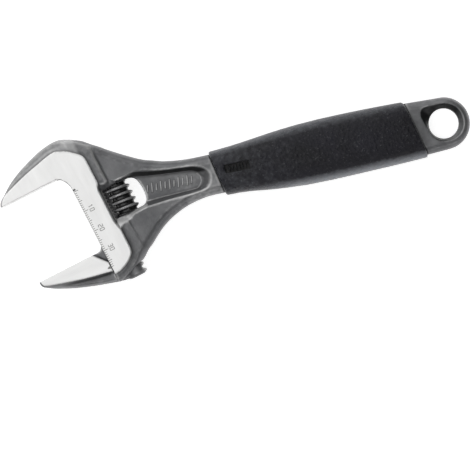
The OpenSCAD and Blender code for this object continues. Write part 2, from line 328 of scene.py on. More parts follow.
def stored(obj: bpy.types.Object, name: str) -> Array:
    """Reads back one number per vertex that a mesh keeps.

    Args:
        obj: the mesh object.
        name: what the number is stored as.

    Returns:
        One number per vertex.
    """
    values = np.zeros(len(obj.data.vertices), np.float32)
    obj.data.attributes[name].data.foreach_get("value", values)
    return values


def rewrite(obj: bpy.types.Object, name: str, values: Array) -> None:
    """Overwrites one number per vertex that a mesh keeps."""
    obj.data.attributes[name].data.foreach_set("value", np.asarray(values, np.float32))


@dataclass
class Shell:
    """Vertices and faces gathered from several simple forms."""

    verts: list[tuple[float, float, float]] = field(default_factory=list)
    faces: list[list[int]] = field(default_factory=list)

    def ring_tube(self, rings: Sequence[Sequence[tuple[float, float, float]]], closed: bool = False,
            caps: bool = True) -> None:
        """Joins rings of equal length into a tube.

        Args:
            rings: the rings in order.
            closed: whether the last ring joins the first.
            caps: whether open ends are filled.
        """
        base, n, m = len(self.verts), len(rings[0]), len(rings)
        for ring in rings:
            self.verts.extend(tuple(float(c) for c in p) for p in ring)
        for j in range(m if closed else m - 1):
            for i in range(n):
                a, b = base + j * n + i, base + j * n + (i + 1) % n
                c, d = base + ((j + 1) % m) * n + i, base + ((j + 1) % m) * n + (i + 1) % n
                self.faces.append([a, b, d, c])
        if caps and not closed:
            self.faces.append([base + i for i in reversed(range(n))])
            self.faces.append([base + (m - 1) * n + i for i in range(n)])

    def piece(self, name: str, smooth: bool = True) -> bpy.types.Object:
        """Turns what has been gathered into an object."""
        return make_piece(name, np.array(self.verts), self.faces, smooth)


# --------------------------------------------------------------------------- finishes


class Group(Enum):
    """Shader node groups that several finishes share."""

    GRAIN = "grain"
    WEAR = "wear_highlight_shade"
    BRUSH = "brush_lines"


class Effects:
    """Builds each shared node group once and hands it out."""

    def __init__(self) -> None:
        """Starts with no group built."""
        self._made: dict[Group, bpy.types.NodeTree] = {}

    def get(self, which: Group) -> bpy.types.NodeTree:
        """The node group for one effect, built on first use.

        Args:
            which: the effect.

        Returns:
            Its node group.
        """
        if which not in self._made:
            maker: Callable[[], bpy.types.NodeTree] = {
                Group.GRAIN: self._grain,
                Group.WEAR: self._wear,
                Group.BRUSH: self._brush,
            }[which]
            self._made[which] = maker()
        return self._made[which]

    @staticmethod
    def _tree(name: str, inputs: dict[str, tuple[str, float | tuple[float, ...]]],
            outputs: dict[str, str]) -> bpy.types.NodeTree:
        """Makes an empty group with named sockets.

        Args:
            name: the group's name.
            inputs: socket name to its kind and value.
            outputs: socket name to its kind.

        Returns:
            The group.
        """
        tree = bpy.data.node_groups.new(name, "ShaderNodeTree")
        for label, (kind, value) in inputs.items():
            socket = tree.interface.new_socket(name=label, in_out="INPUT", socket_type=kind)
            socket.default_value = value
        for label, kind in outputs.items():
            tree.interface.new_socket(name=label, in_out="OUTPUT", socket_type=kind)
        return tree

    def _grain(self) -> bpy.types.NodeTree:
        """Fine grain with broad mottling: a height, a tone from 0 to 1 and a speckle mask.

        Returns:
            The group.
        """
        t = self._tree(
            "grain",
            {"Vector": ("NodeSocketVector", (0.0, 0.0, 0.0)), "Fine": ("NodeSocketFloat", 1800.0),
            "Broad": ("NodeSocketFloat", 90.0)},
            {"Height": "NodeSocketFloat", "Tone": "NodeSocketFloat", "Speckle": "NodeSocketFloat"},
        )
        g = Wiring(t)
        src, out = g.add("NodeGroupInput"), g.add("NodeGroupOutput")
        fine = g.add("ShaderNodeTexNoise", Detail=4.0, Roughness=0.6)
        cells = g.add("ShaderNodeTexVoronoi")
        broad = g.add("ShaderNodeTexNoise", Detail=3.0, Roughness=0.55)
        for node in (fine, cells, broad):
            g.join(src, "Vector", node, "Vector")
        g.join(src, "Fine", fine, "Scale")
        g.join(src, "Broad", broad, "Scale")
        half = g.add("ShaderNodeMath", operation="MULTIPLY")
        half.inputs[1].default_value = 0.6
        g.join(src, "Fine", half, 0)
        g.join(half, 0, cells, "Scale")
        mix = g.add("ShaderNodeMath", operation="MULTIPLY_ADD")
        mix.inputs[1].default_value = 0.6
        g.join(cells, "Distance", mix, 0)
        g.join(fine, "Fac", mix, 2)
        g.join(mix, 0, out, "Height")
        tone = g.add("ShaderNodeMapRange")
        tone.inputs["From Min"].default_value = 0.3
        tone.inputs["From Max"].default_value = 0.7
        g.join(broad, "Fac", tone, "Value")
        g.join(tone, "Result", out, "Tone")
        dots = g.add("ShaderNodeMapRange")
        dots.inputs["From Min"].default_value = 0.6
        dots.inputs["From Max"].default_value = 0.74
        g.join(fine, "Fac", dots, "Value")
        g.join(dots, "Result", out, "Speckle")
        return t

    def _wear(self) -> bpy.types.NodeTree:
        """Brighter tone where the stored edge value of a mesh is high, broken up by noise: edge wear plus
        painted highlight. Its second output is a painted shade mask from the stored cavity value.

        Returns:
            The group.
        """
        t = self._tree(
            "wear_highlight_shade",
            {"Vector": ("NodeSocketVector", (0.0, 0.0, 0.0)), "Start": ("NodeSocketFloat", 0.2),
            "End": ("NodeSocketFloat", 0.9)},
            {"Mask": "NodeSocketFloat", "PaintedShade": "NodeSocketFloat"},
        )
        g = Wiring(t)
        src, out = g.add("NodeGroupInput"), g.add("NodeGroupOutput")
        edge = g.add("ShaderNodeAttribute", attribute_name="edge")
        noise = g.add("ShaderNodeTexNoise", Scale=420.0, Detail=3.0)
        g.join(src, "Vector", noise, "Vector")
        shift = g.add("ShaderNodeMath", operation="MULTIPLY_ADD")
        shift.inputs[1].default_value = 0.5
        g.join(noise, "Fac", shift, 0)
        g.join(edge, "Fac", shift, 2)
        ramp = g.add("ShaderNodeMapRange")
        g.join(shift, 0, ramp, "Value")
        g.join(src, "Start", ramp, "From Min")
        g.join(src, "End", ramp, "From Max")
        g.join(ramp, "Result", out, "Mask")
        # Painted shade: the stored cavity value darkens hollows, creases and recesses.
        cavity = g.add("ShaderNodeAttribute", attribute_name="cavity")
        rough = g.add("ShaderNodeMath", operation="MULTIPLY_ADD")
        rough.inputs[1].default_value = 0.3
        rough.inputs[2].default_value = -0.15
        g.join(noise, "Fac", rough, 0)
        total = g.add("ShaderNodeMath", operation="ADD")
        g.join(cavity, "Fac", total, 0)
        g.join(rough, 0, total, 1)
        shade_ramp = g.add("ShaderNodeMapRange")
        shade_ramp.inputs["From Min"].default_value = 0.08
        shade_ramp.inputs["From Max"].default_value = 0.95
        g.join(total, 0, shade_ramp, "Value")
        g.join(shade_ramp, "Result", out, "PaintedShade")
        return t

    def _brush(self) -> bpy.types.NodeTree:
        """Long fine lines, as left by a grinding wheel: a height and a tone.

        Returns:
            The group.
        """
        t = self._tree(
            "brush_lines",
            {"Vector": ("NodeSocketVector", (0.0, 0.0, 0.0)), "Angle": ("NodeSocketFloat", 0.0)},
            {"Height": "NodeSocketFloat", "Tone": "NodeSocketFloat"},
        )
        g = Wiring(t)
        src, out = g.add("NodeGroupInput"), g.add("NodeGroupOutput")
        turn = g.add("ShaderNodeVectorRotate", rotation_type="Z_AXIS")
        g.join(src, "Vector", turn, "Vector")
        g.join(src, "Angle", turn, "Angle")
        stretch = g.add("ShaderNodeMapping")
        stretch.inputs["Scale"].default_value = (120.0, 5200.0, 400.0)
        g.join(turn, "Vector", stretch, "Vector")
        lines = g.add("ShaderNodeTexNoise", Scale=1.0, Detail=2.0)
        g.join(stretch, "Vector", lines, "Vector")
        g.join(lines, "Fac", out, "Height")
        wide = g.add("ShaderNodeMapping")
        wide.inputs["Scale"].default_value = (60.0, 320.0, 60.0)
        g.join(turn, "Vector", wide, "Vector")
        bands = g.add("ShaderNodeTexNoise", Scale=1.0, Detail=3.0)
        g.join(wide, "Vector", bands, "Vector")
        g.join(bands, "Fac", out, "Tone")
        return t


class Wiring:
    """Adds nodes to a tree and joins their sockets."""

    def __init__(self, tree: bpy.types.NodeTree) -> None:
        """Works on that tree."""
        self.tree = tree

    def add(self, kind: str, **settings: object) -> bpy.types.Node:
        """Adds a node; a setting names a property, or else an input socket.

        Args:
            kind: the type of node.
            settings: values by property or socket name.

        Returns:
            The node.
        """
        node = self.tree.nodes.new(kind)
        for key, value in settings.items():
            if hasattr(node, key):
                setattr(node, key, value)
            else:
                node.inputs[key.replace("_", " ")].default_value = value
        return node

    def join(self, a: bpy.types.Node, out: str | int, b: bpy.types.Node, into: str | int) -> None:
        """Joins output out of node a to input into of node b."""
        self.tree.links.new(a.outputs[out], b.inputs[into])


class Finish:
    """Base of every finish: makes a material with one Principled shader."""

    def __init__(self, effects: Effects) -> None:
        """Keeps the shared effects at hand."""
        self.effects = effects

    def start(self, name: str, roughness: float, metallic: float) -> tuple[bpy.types.Material, Wiring,
            bpy.types.Node, bpy.types.Node]:
        """Makes the material, its shader and its object coordinates.

        Args:
            name: the material's name.
            roughness: how matt it is.
            metallic: how metallic it is.

        Returns:
            The material, its wiring, the shader and the coordinates node.
        """
        mat = bpy.data.materials.new(name)
        mat.use_nodes = True
        w = Wiring(mat.node_tree)
        shader = next(n for n in mat.node_tree.nodes if n.type == "BSDF_PRINCIPLED")
        shader.inputs["Roughness"].default_value = roughness
        shader.inputs["Metallic"].default_value = metallic
        coords = w.add("ShaderNodeTexCoord")
        return mat, w, shader, coords

    def effect(self, w: Wiring, which: Group, coords: bpy.types.Node, **values: float) -> bpy.types.Node:
        """Places a shared group in a material, with its own values.

        Args:
            w: the material's wiring.
            which: the effect.
            coords: the coordinates node.
            values: values by socket name.

        Returns:
            The group node.
        """
        node = w.add("ShaderNodeGroup")
        node.node_tree = self.effects.get(which)
        w.join(coords, "Object", node, "Vector")
        for key, value in values.items():
            node.inputs[key].default_value = value
        return node

    @staticmethod
    def bump(w: Wiring, source: bpy.types.Node, out: str, shader: bpy.types.Node, strength: float,
            depth: float) -> bpy.types.Node:
        """Feeds a height into the shader's normal.

        Args:
            w: the material's wiring.
            source: the node that gives the height.
            out: its output.
            shader: the shader.
            strength: how strong the relief is.
            depth: how deep it is, in metres.

        Returns:
            The bump node.
        """
        node = w.add("ShaderNodeBump", Strength=strength, Distance=depth)
        w.join(source, out, node, "Height")
        w.join(node, "Normal", shader, "Normal")
        return node

    @staticmethod
    def blend(w: Wiring, factor: bpy.types.Node, out: str | int, dark: tuple[float, ...],
            light: tuple[float, ...]) -> bpy.types.Node:
        """Mixes two colours by a factor.

        Args:
            w: the material's wiring.
            factor: the node that gives the factor.
            out: its output.
            dark: colour at factor 0.
            light: colour at factor 1.

        Returns:
            The mix node.
        """
        node = w.add("ShaderNodeMix", data_type="RGBA")
        node.inputs["A"].default_value = (*dark, 1.0) if len(dark) == 3 else dark
        node.inputs["B"].default_value = (*light, 1.0) if len(light) == 3 else light
        w.join(factor, out, node, "Factor")
        return node

    @staticmethod
    def colour_out(node: bpy.types.Node) -> bpy.types.NodeSocket:
        """The colour output of a colour mix."""
        return next(s for s in node.outputs if s.type == "RGBA" and s.enabled)

    @staticmethod
    def colour_in(node: bpy.types.Node, label: str) -> bpy.types.NodeSocket:
        """A colour input of a colour mix."""
        return next(s for s in node.inputs if s.name == label and s.type == "RGBA")


@dataclass(frozen=True)
class Tones:
    """Colours and grain of one forged or moulded surface."""

    dark: tuple[float, float, float]
    light: tuple[float, float, float]
    worn: tuple[float, float, float]
    roughness: float
    metallic: float
    fine: float
    broad: float
    bump: float
    depth: float


# The third colour of each is the tone of edge wear and painted highlight: on the forging's edges, on the
# worm's thread crests and on the grip's rounded sides.
FORGED = Tones((0.118, 0.12, 0.125), (0.2, 0.202, 0.207), (0.55, 0.55, 0.55), 0.42, 0.5, 1500.0, 120.0, 0.4,
    0.00014)
BLACKED = Tones((0.003, 0.003, 0.0035), (0.085, 0.085, 0.087), (0.34, 0.34, 0.345), 0.24, 0.5, 1200.0, 800.0,
    0.3, 0.0001)
MOULDED = Tones((0.002, 0.0018, 0.0042), (0.009, 0.0087, 0.0155), (0.195, 0.205, 0.225), 0.44, 0.0, 1150.0,
    70.0, 1.0, 0.00035)
GROUND_LIGHT = (0.86, 0.86, 0.855)
GROUND_DARK = (0.7, 0.7, 0.695)


class ForgedFinish(Finish):
    """Grey phosphate steel whose ground faces are bright, by the mesh's stored value."""

    def build(self, name: str, tones: Tones, ground: bool, angle: float = 0.0) -> bpy.types.Material:
        """Makes the material.

        Args:
            name: its name.
            tones: its colours and grain.
            ground: whether the mesh stores which of its faces are ground.
            angle: direction of the grinding lines, in radians.

        Returns:
            The material.
        """
        mat, w, shader, coords = self.start(name, tones.roughness, tones.metallic)
        grain = self.effect(w, Group.GRAIN, coords, Fine=tones.fine, Broad=tones.broad)
        wear_and_light = self.effect(w, Group.WEAR, coords, Start=0.42, End=1.1)
        base = self.blend(w, grain, "Tone", tones.dark, tones.light)
        # Edge wear plus painted highlight, by the stored edge value.
        worn = self.blend(w, wear_and_light, "Mask", (0, 0, 0), tones.worn)
        w.tree.links.new(self.colour_out(base), self.colour_in(worn, "A"))
        # Painted shade in hollows and creases, by the stored cavity value.
        painted_shade = self.blend(w, wear_and_light, "PaintedShade", (0, 0, 0), tuple(0.16 * c for c in tones.dark))
        w.tree.links.new(self.colour_out(worn), self.colour_in(painted_shade, "A"))
        colour = painted_shade
        normal = self.bump(w, grain, "Height", shader, tones.bump, tones.depth)
        if ground:
            mask = w.add("ShaderNodeAttribute", attribute_name="ground")
            crisp = w.add("ShaderNodeMapRange")
            crisp.inputs["From Min"].default_value = 0.4
            crisp.inputs["From Max"].default_value = 0.6
            w.join(mask, "Fac", crisp, "Value")
            lines = self.effect(w, Group.BRUSH, coords, Angle=angle)
            bright = self.blend(w, lines, "Tone", GROUND_DARK, GROUND_LIGHT)
            both = w.add("ShaderNodeMix", data_type="RGBA")
            w.join(crisp, "Result", both, "Factor")
            w.tree.links.new(self.colour_out(painted_shade), self.colour_in(both, "A"))
            w.tree.links.new(self.colour_out(bright), self.colour_in(both, "B"))
            colour = both
            rough = w.add("ShaderNodeMapRange")
            rough.inputs["To Min"].default_value = tones.roughness
            rough.inputs["To Max"].default_value = 0.36
            w.join(crisp, "Result", rough, "Value")
            turned = w.add("ShaderNodeAttribute", attribute_name="turned")
            sleek = w.add("ShaderNodeMath", operation="MULTIPLY_ADD")
            sleek.inputs[1].default_value = -0.22
            w.join(turned, "Fac", sleek, 0)
            w.join(rough, "Result", sleek, 2)
            w.join(sleek, 0, shader, "Roughness")
            metal = w.add("ShaderNodeMapRange")
            metal.inputs["To Min"].default_value = tones.metallic
            metal.inputs["To Max"].default_value = 0.85
            w.join(crisp, "Result", metal, "Value")
            w.join(metal, "Result", shader, "Metallic")
            weight = w.add("ShaderNodeMapRange")
            weight.inputs["To Min"].default_value = 1.0
            weight.inputs["To Max"].default_value = 0.12
            w.join(crisp, "Result", weight, "Value")
            tall = w.add("ShaderNodeMath", operation="MULTIPLY")
            w.join(grain, "Height", tall, 0)
            w.join(weight, "Result", tall, 1)
            w.join(tall, 0, normal, "Height")
        w.tree.links.new(self.colour_out(colour), shader.inputs["Base Color"])
        return mat


class MouldedFinish(Finish):
    """Dark moulded elastomer with a fine leathery grain."""

    def build(self, name: str, tones: Tones) -> bpy.types.Material:
        """Makes the material.

        Args:
            name: its name.
            tones: its colours and grain.

        Returns:
            The material.
        """
        mat, w, shader, coords = self.start(name, tones.roughness, tones.metallic)
        grain = self.effect(w, Group.GRAIN, coords, Fine=tones.fine, Broad=tones.broad)
        base = self.blend(w, grain, "Tone", tones.dark, tones.light)
        dots = self.blend(w, grain, "Speckle", (0, 0, 0), tuple(0.4 * c for c in tones.worn))
        w.tree.links.new(self.colour_out(base), self.colour_in(dots, "A"))
        # Painted highlight on the grip's rounded sides and painted light towards its head end, by the stored
        # edge value.
        wear_and_light = self.effect(w, Group.WEAR, coords, Start=0.3, End=1.25)
        rubbed = self.blend(w, wear_and_light, "Mask", (0, 0, 0), tones.worn)
        w.tree.links.new(self.colour_out(dots), self.colour_in(rubbed, "A"))
        # Painted shade in the sunk plaque, by the stored cavity value.
        sunk = self.blend(w, wear_and_light, "PaintedShade", (0, 0, 0), tuple(0.2 * c for c in tones.dark))
        w.tree.links.new(self.colour_out(rubbed), self.colour_in(sunk, "A"))
        w.tree.links.new(self.colour_out(sunk), shader.inputs["Base Color"])
        self.bump(w, grain, "Height", shader, tones.bump, tones.depth)
        shader.inputs["Sheen Weight"].default_value = 0.22
        shader.inputs["Specular IOR Level"].default_value = 0.36
        shader.inputs["Sheen Roughness"].default_value = 0.3
        return mat


class PlainSteelFinish(Finish):
    """Turned or drawn steel of one tone, with a faint grain."""

    def build(self, name: str, dark: tuple[float, float, float], light: tuple[float, float, float],
            roughness: float, metallic: float = 1.0) -> bpy.types.Material:
        """Makes the material.

        Args:
            name: its name.
            dark: its darkest tone.
            light: its lightest tone.
            roughness: how matt it is.
            metallic: how metallic it is.

        Returns:
            The material.
        """
        mat, w, shader, coords = self.start(name, roughness, metallic)
        grain = self.effect(w, Group.GRAIN, coords, Fine=900.0, Broad=500.0)
        base = self.blend(w, grain, "Tone", dark, light)
        w.tree.links.new(self.colour_out(base), shader.inputs["Base Color"])
        self.bump(w, grain, "Height", shader, 0.1, 0.00005)
        return mat


class FloorFinish(Finish):
    """Pale even floor."""

    def build(self) -> bpy.types.Material:
        """Makes the material.

        Returns:
            The material.
        """
        mat, w, shader, coords = self.start("pale_floor", 0.7, 0.0)
        grain = self.effect(w, Group.GRAIN, coords, Fine=40.0, Broad=4.0)
        base = self.blend(w, grain, "Tone", (0.6, 0.6, 0.6), (0.63, 0.63, 0.63))
        w.tree.links.new(self.colour_out(base), shader.inputs["Base Color"])
        shader.inputs["Emission Color"].default_value = (1.0, 1.0, 1.0, 1.0)
        shader.inputs["Emission Strength"].default_value = 0.8
        return mat


# --------------------------------------------------------------------------- shared sizes


# Where each end of the grip crosses the handle's middle, and how far it leans.
GRIP_LEFT = (-106.3, 0.2034)
GRIP_RIGHT = (-13.32, 0.2414)


@dataclass(frozen=True)
class HeadFrame:
    """The head's own axes: u along the jaws, v the way the moving jaw closes."""

    back: float
    cos: float
    sin: float

    @classmethod
    def from_joints(cls, joints: list[dict], worm_u: float) -> "HeadFrame":
        """Finds the head's axes from the worm's joint.

        Args:
            joints: the frame's joints.
            worm_u: how far the worm's axis is from the head's centre line.

        Returns:
            The head frame.
        """
        spin = next(j for j in joints if j["type"] == "hinge")
        sin, cos = -spin["axis"][0], spin["axis"][1]
        px, py = (c / MM for c in spin["pos_m"][:2])
        x, y = px - worm_u * cos, py - worm_u * sin
        return cls(back=-(x + y * sin / cos), cos=cos, sin=sin)

    def to_head(self, x: Array, y: Array) -> tuple[Array, Array]:
        """Row coordinates to head coordinates."""
        return (x + self.back) * self.cos + y * self.sin, -(x + self.back) * self.sin + y * self.cos

    def to_row(self, u: float, v: float) -> Point:
        """Head coordinates to row coordinates."""
        return u * self.cos - v * self.sin - self.back, u * self.sin + v * self.cos


@dataclass(frozen=True)
class Adjuster:
    """Sizes the jaw, worm and body share, in millimetres."""

    travel: float
    turns: int = 12
    face_v: float = 15.9
    front_u: float = -10.3
    worm_u: float = 8.0
    worm_r: float = 5.9
    thread: float = 1.55
    worm_top: float = 1.9
    worm_length: float = 14.1
    crest_v: float = -0.8
    mesh_gap: float = 0.2
    bar_r: float = 4.6
    web_half: float = 3.0
    half: float = 7.5
    closed_gap: float = 0.05
    root_share: float = 0.31
    crest_share: float = 0.135

    @property
    def pitch(self) -> float:
        """Distance from one thread to the next."""
        return self.travel / self.turns

    @property
    def root_r(self) -> float:
        """Radius at the bottom of the thread."""
        return self.worm_r - self.thread

    @property
    def bar_u(self) -> float:
        """Where the toothed bar's centre line is."""
        return self.worm_u - self.root_r - self.mesh_gap - self.bar_r

    @property
    def move_v(self) -> float:
        """Where the moving jaw's face is when fully open."""
        return self.face_v - self.closed_gap - self.travel


# --------------------------------------------------------------------------- sub-assemblies


@dataclass
class ForgedBody:
    """The forged body: fixed jaw, head, shank, tang and hanging eye."""

    head: HeadFrame
    adj: Adjuster
    step: float = 0.42
    shank_half: float = 5.6
    floor_half: float = 2.8
    eye_half: float = 4.5
    eye_r: float = 12.0
    hole_r: float = 6.9
    tang_y: float = 7.0
    tang_z: float = 4.1

    def outer(self) -> list[Point]:
        """Outline of the head seen from its ground face, in head axes.

        Returns:
            The outline, corner by corner.
        """
        top = curve([(-43, 14), (-43, 16.2), (-42.5, 17.6), (-41, 19.4), (-38, 21.6), (-35, 23.7),
            (-30, 26.3), (-25, 28.3),
                     (-20, 30), (-15, 31.35), (-10, 32.05), (-7.5, 32.0), (-5.3, 31.7), (-3, 31.1), (0, 29.6),
                     (3, 27.2), (5, 25.1), (7.4, 22.6), (10.4, 19.4)], 3)
        low = curve([(8, -31.2), (7, -32.1), (4, -34.1), (0, -36), (-3, -37.1), (-6, -38), (-8.5, -38.7),
            (-14, -39.2)], 3)
        return [(-43, 5)] + top + [(11, 17), (9, -28)] + low + [(-14, -20)]

    def pad(self) -> list[Point]:
        """Outline of the ground face of the head, in head axes.

        Returns:
            The outline, corner by corner.
        """
        top = curve([(-41.5, 18.95), (-40, 19.6), (-37.8, 20.4), (-34.7, 21.45), (-29.7, 23.0), (-24.8, 24.4),
            (-19.75, 25.6), (-14.8, 26.75), (-11.6, 27.35), (-9.6, 27.35)], 3)
        side = curve([(-9.6, 27.35), (-5, 25.2), (-2, 22.8), (0, 20.9), (1, 19.2), (1.25, 17.5)], 3)
        low = curve([(1.25, -26), (0.9, -28.3), (0, -30), (-2, -31.7), (-5, -33.3), (-8, -34.3),
            (-14, -34.8)], 3)
        return [(-46, 5), (-46, 18.95)] + top[:-1] + side + low + [(-20, -20)]

    def notch(self) -> list[Point]:
        """The space between the jaws, in head axes.

        Returns:
            The outline, corner by corner.
        """
        f = self.adj.face_v
        throat = curve([(-14.8, f), (-13.8, 15.5), (-12.9, 14.7), (-12, 13.6), (-11.2, 12.3), (-10.7, 11.1),
            (-10.4, 9.9), (self.adj.front_u, 8.6)], 3)
        return [(-90, f)] + throat + [(self.adj.front_u, -90), (-90, -90)]

    def shank(self) -> list[Point]:
        """Outline of the shank, from inside the head to under the grip, in row axes.

        Returns:
            The outline, corner by corner.
        """
        top = curve([(-166, 25), (-159, 23.4), (-155.4, 21.7), (-149.4, 18.3), (-143.3, 15), (-138, 12.5),
            (-134, 11.3), (-130, 10.1),
                     (-126, 9.35), (-122, 8.85), (-118, 8.55), (-113, 8.45), (-108, 8.5), (-98, 8.6)], 3)
        low = curve([(-98, -10.3), (-105, -10.1), (-110, -10.1), (-114, -10.45), (-118, -11.2), (-122, -12.3),
            (-126, -13.9), (-130, -16),
                     (-132.5, -17.6), (-135.5, -19.9), (-138, -22.3), (-140, -24.4), (-142.4, -26.9),
                     (-145, -29.6), (-147, -31.6), (-150, -34), (-156, -37)], 3)
        return top + low + [(-166, -30)]

    def funnel(self) -> list[Point]:
        """Rim of the sunk surround of the hanging hole, in row axes."""
        ring = [(-9.9, 5.2), (-9.4, 7.3), (-8, 8.6), (-5.6, 8.95), (-2.5, 8.95), (1, 8.95), (4.4, 7.9),
            (7.2, 5.6), (8.8, 2.4), (9.1, -0.8),
                (8.2, -4), (6, -6.6), (3, -8), (0, -8.2), (-3.2, -7.5), (-5.7, -5.6), (-7.3, -2.8),
                (-8, -0.4), (-8.9, 2), (-9.9, 5.2)]
        return curve(ring, 3)[:-1]

    def window(self) -> tuple[list[Point], list[Point]]:
        """The worm's window, its inside edge and its flared mouth, in head axes.

        Returns:
            The inside edge and the mouth.
        """
        top, low = self.adj.worm_top + 0.12, self.adj.worm_top - self.adj.worm_length - 0.12
        inner = [(2.1, top)] + curve([(14.4, top), (15.8, 1.5), (17, 0.6), (17.9, -1), (18.45, -4),
            (18.45, -7), (18, -9.9), (17.1, -11.4), (15.6, low)], 3) + [(2.1, low)]
        outer = curve([(-1.5, 4.4), (-1.2, 5.3), (-0.4, 6.2), (0.8, 6.7), (1.6, 5.5), (2.5, 4.7), (3.8, 4.35),
            (5.3, 4.8), (6.5, 4.95), (7.7, 4.1), (9.2, 3.15),
                       (13, 3.05), (16, 3.05), (18.3, 2.7), (19.5, -1), (20.1, -4), (20.1, -8), (19.3, -11.4),
                       (17.8, -13.3), (14, -13.9),
                       (9.5, -14.2), (7.0, -15.7), (3.2, -15.4), (1.6, -17.3), (0.2, -17.2), (-1.5, -15)], 2)
        return inner, outer

    def recess(self) -> tuple[list[Point], list[Point]]:
        """The sunk panel of the shank, its rim and its floor, in row axes.

        Returns:
            The rim and the floor.
        """
        rim = curve([(-152.2, 5.2), (-148.3, 6.25), (-145.6, 7.2), (-143.2, 7.85), (-139.8, 7.55),
            (-134, 6.4), (-128, 5.65), (-120, 5.1), (-115.5, 4.5), (-112.2, 3.1), (-110.1, 1.2),
                                     (-109.3, -1), (-109.7, -3.4), (-111, -5.5), (-113.4, -7), (-120, -7.6),
                                     (-130, -8.1), (-140, -9.1), (-146, -9.9)], 3) + [(-152, -10.8)]
        floor = [(-152, 6)] + curve([(-146, 5.4), (-140, 4.5), (-130, 3.6), (-120, 2.8), (-117, 2.3),
            (-114.9, 1), (-113.8, -1), (-114.1, -3),
                                     (-115.4, -4.7), (-117.6, -5.5), (-130, -5.9), (-140, -6.4),
                                     (-146, -6.8)], 3) + [(-152, -7)]
        return rim, floor

    def grip_band(self, x: Array, y: Array) -> Array:
        """Signed distance to the slanted band that the grip takes up.

        Args:
            x: first row coordinate.
            y: second row coordinate.

        Returns:
            The distance, below zero inside the band.
        """
        left = GRIP_LEFT[0] + GRIP_LEFT[1] * (-y)
        right = GRIP_RIGHT[0] + GRIP_RIGHT[1] * (-y)
        return np.maximum(left - x, x - right) * 0.975

    def height(self, b: Block, u: Array, v: Array) -> tuple[Array, Array, Array]:
        """Height of the forging over its middle plane.

        Args:
            b: the sample points.
            u: their first head coordinate.
            v: their second head coordinate.

        Returns:
            The height, the plan of the whole forging and the plan of the ground face.
        """
        x, y = b.x, b.y
        far = x > -90
        head = np.where(far, 60.0, distance_to(self.outer(), u, v))
        shank = distance_to(self.shank(), x, y)
        eye = np.hypot(x, y) - self.eye_r
        link = np.maximum(np.abs(y + 0.05) - (12.0 - 0.045 * x), np.maximum(x - 0.5, -24 - x))
        plan = np.minimum(soft_min(head, shank, 0.7), np.minimum(eye, link))
        pad = np.where(far, 60.0, distance_to(self.pad(), u, v))
        inward = -plan
        low = soft_min(self.shank_half + 0.25, 3.1 + 1.15 * inward, 2.2)
        low = np.where(x > -60, soft_min(self.eye_half, 2.5 + 0.85 * inward, 1.2), low)
        crease = u - np.where(v > -5, 6.8, 7.2 + 0.05 * (-15 - v))
        ledge = (u - 7.6) * 0.649 - (v + 29.9) * 0.761
        raised = soft_max(soft_max(head, crease, 1.0), np.where(v < -20, ledge, -9.0), 0.7)
        apart = np.maximum(pad, 0)
        steep = 0.12 + 0.45 * np.clip((-4 - u) / 5, 0, 1) * (v > 10)
        step = 0.25 + 0.75 * np.clip((-10 - v) / 10, 0, 1)
        slope = self.adj.half - step * (1 - np.exp(-apart / (0.25 + 0.4 * step))) - steep * apart
        crown = soft_min(slope, 4.6 + 1.7 * (-raised), 1.2)
        crown = np.maximum(crown, self.adj.half - 3.5 * pad)
        top = np.where(pad < 0.6, np.maximum(low, crown), soft_max(low, crown, 0.8))
        return top, plan, pad

    def cut_features(self, b: Block, u: Array, v: Array, top: Array) -> tuple[Array, Array, Array]:
        """Sinks the shank's panel, the window's flare and the hole's surround.

        Args:
            b: the sample points.
            u: their first head coordinate.
            v: their second head coordinate.
            top: the height so far.

        Returns:
            The new height, the plan of the window and the height without the window's flare.
        """
        x, y = b.x, b.y
        rim, floor = self.recess()
        near = x < -100
        t = between(np.where(near, distance_to(floor, x, y), 50), np.where(near, distance_to(rim, x, y), 50))
        panel = soft_max(self.floor_half,
            self.floor_half - 0.35 + (self.shank_half + 0.7 - self.floor_half) * t, 1.0)
        top = soft_min(top, np.where(near, panel, 60), 0.7)
        full = np.minimum(top, self.adj.half)
        inner, outer = self.window()
        inside = np.where(near, distance_to(inner, u, v), 50)
        flare = between(inside, np.where(near, distance_to(outer, u, v), 50))
        surface = np.where(flare <= 1, 3.6 + (top - 3.6) * flare, 60)
        top = np.minimum(top, surface)
        ring = between(np.hypot(x, y) - self.hole_r, distance_to(self.funnel(), x, y))
        sunk = self.eye_half - 3.0 + 3.1 * np.minimum(ring, 4) + np.where(ring > 1, 9.0, 0)
        top = np.where(x > -30, soft_min(top, sunk, 0.5), np.minimum(top, self.adj.half))
        return top.astype(np.float32), inside, full.astype(np.float32)

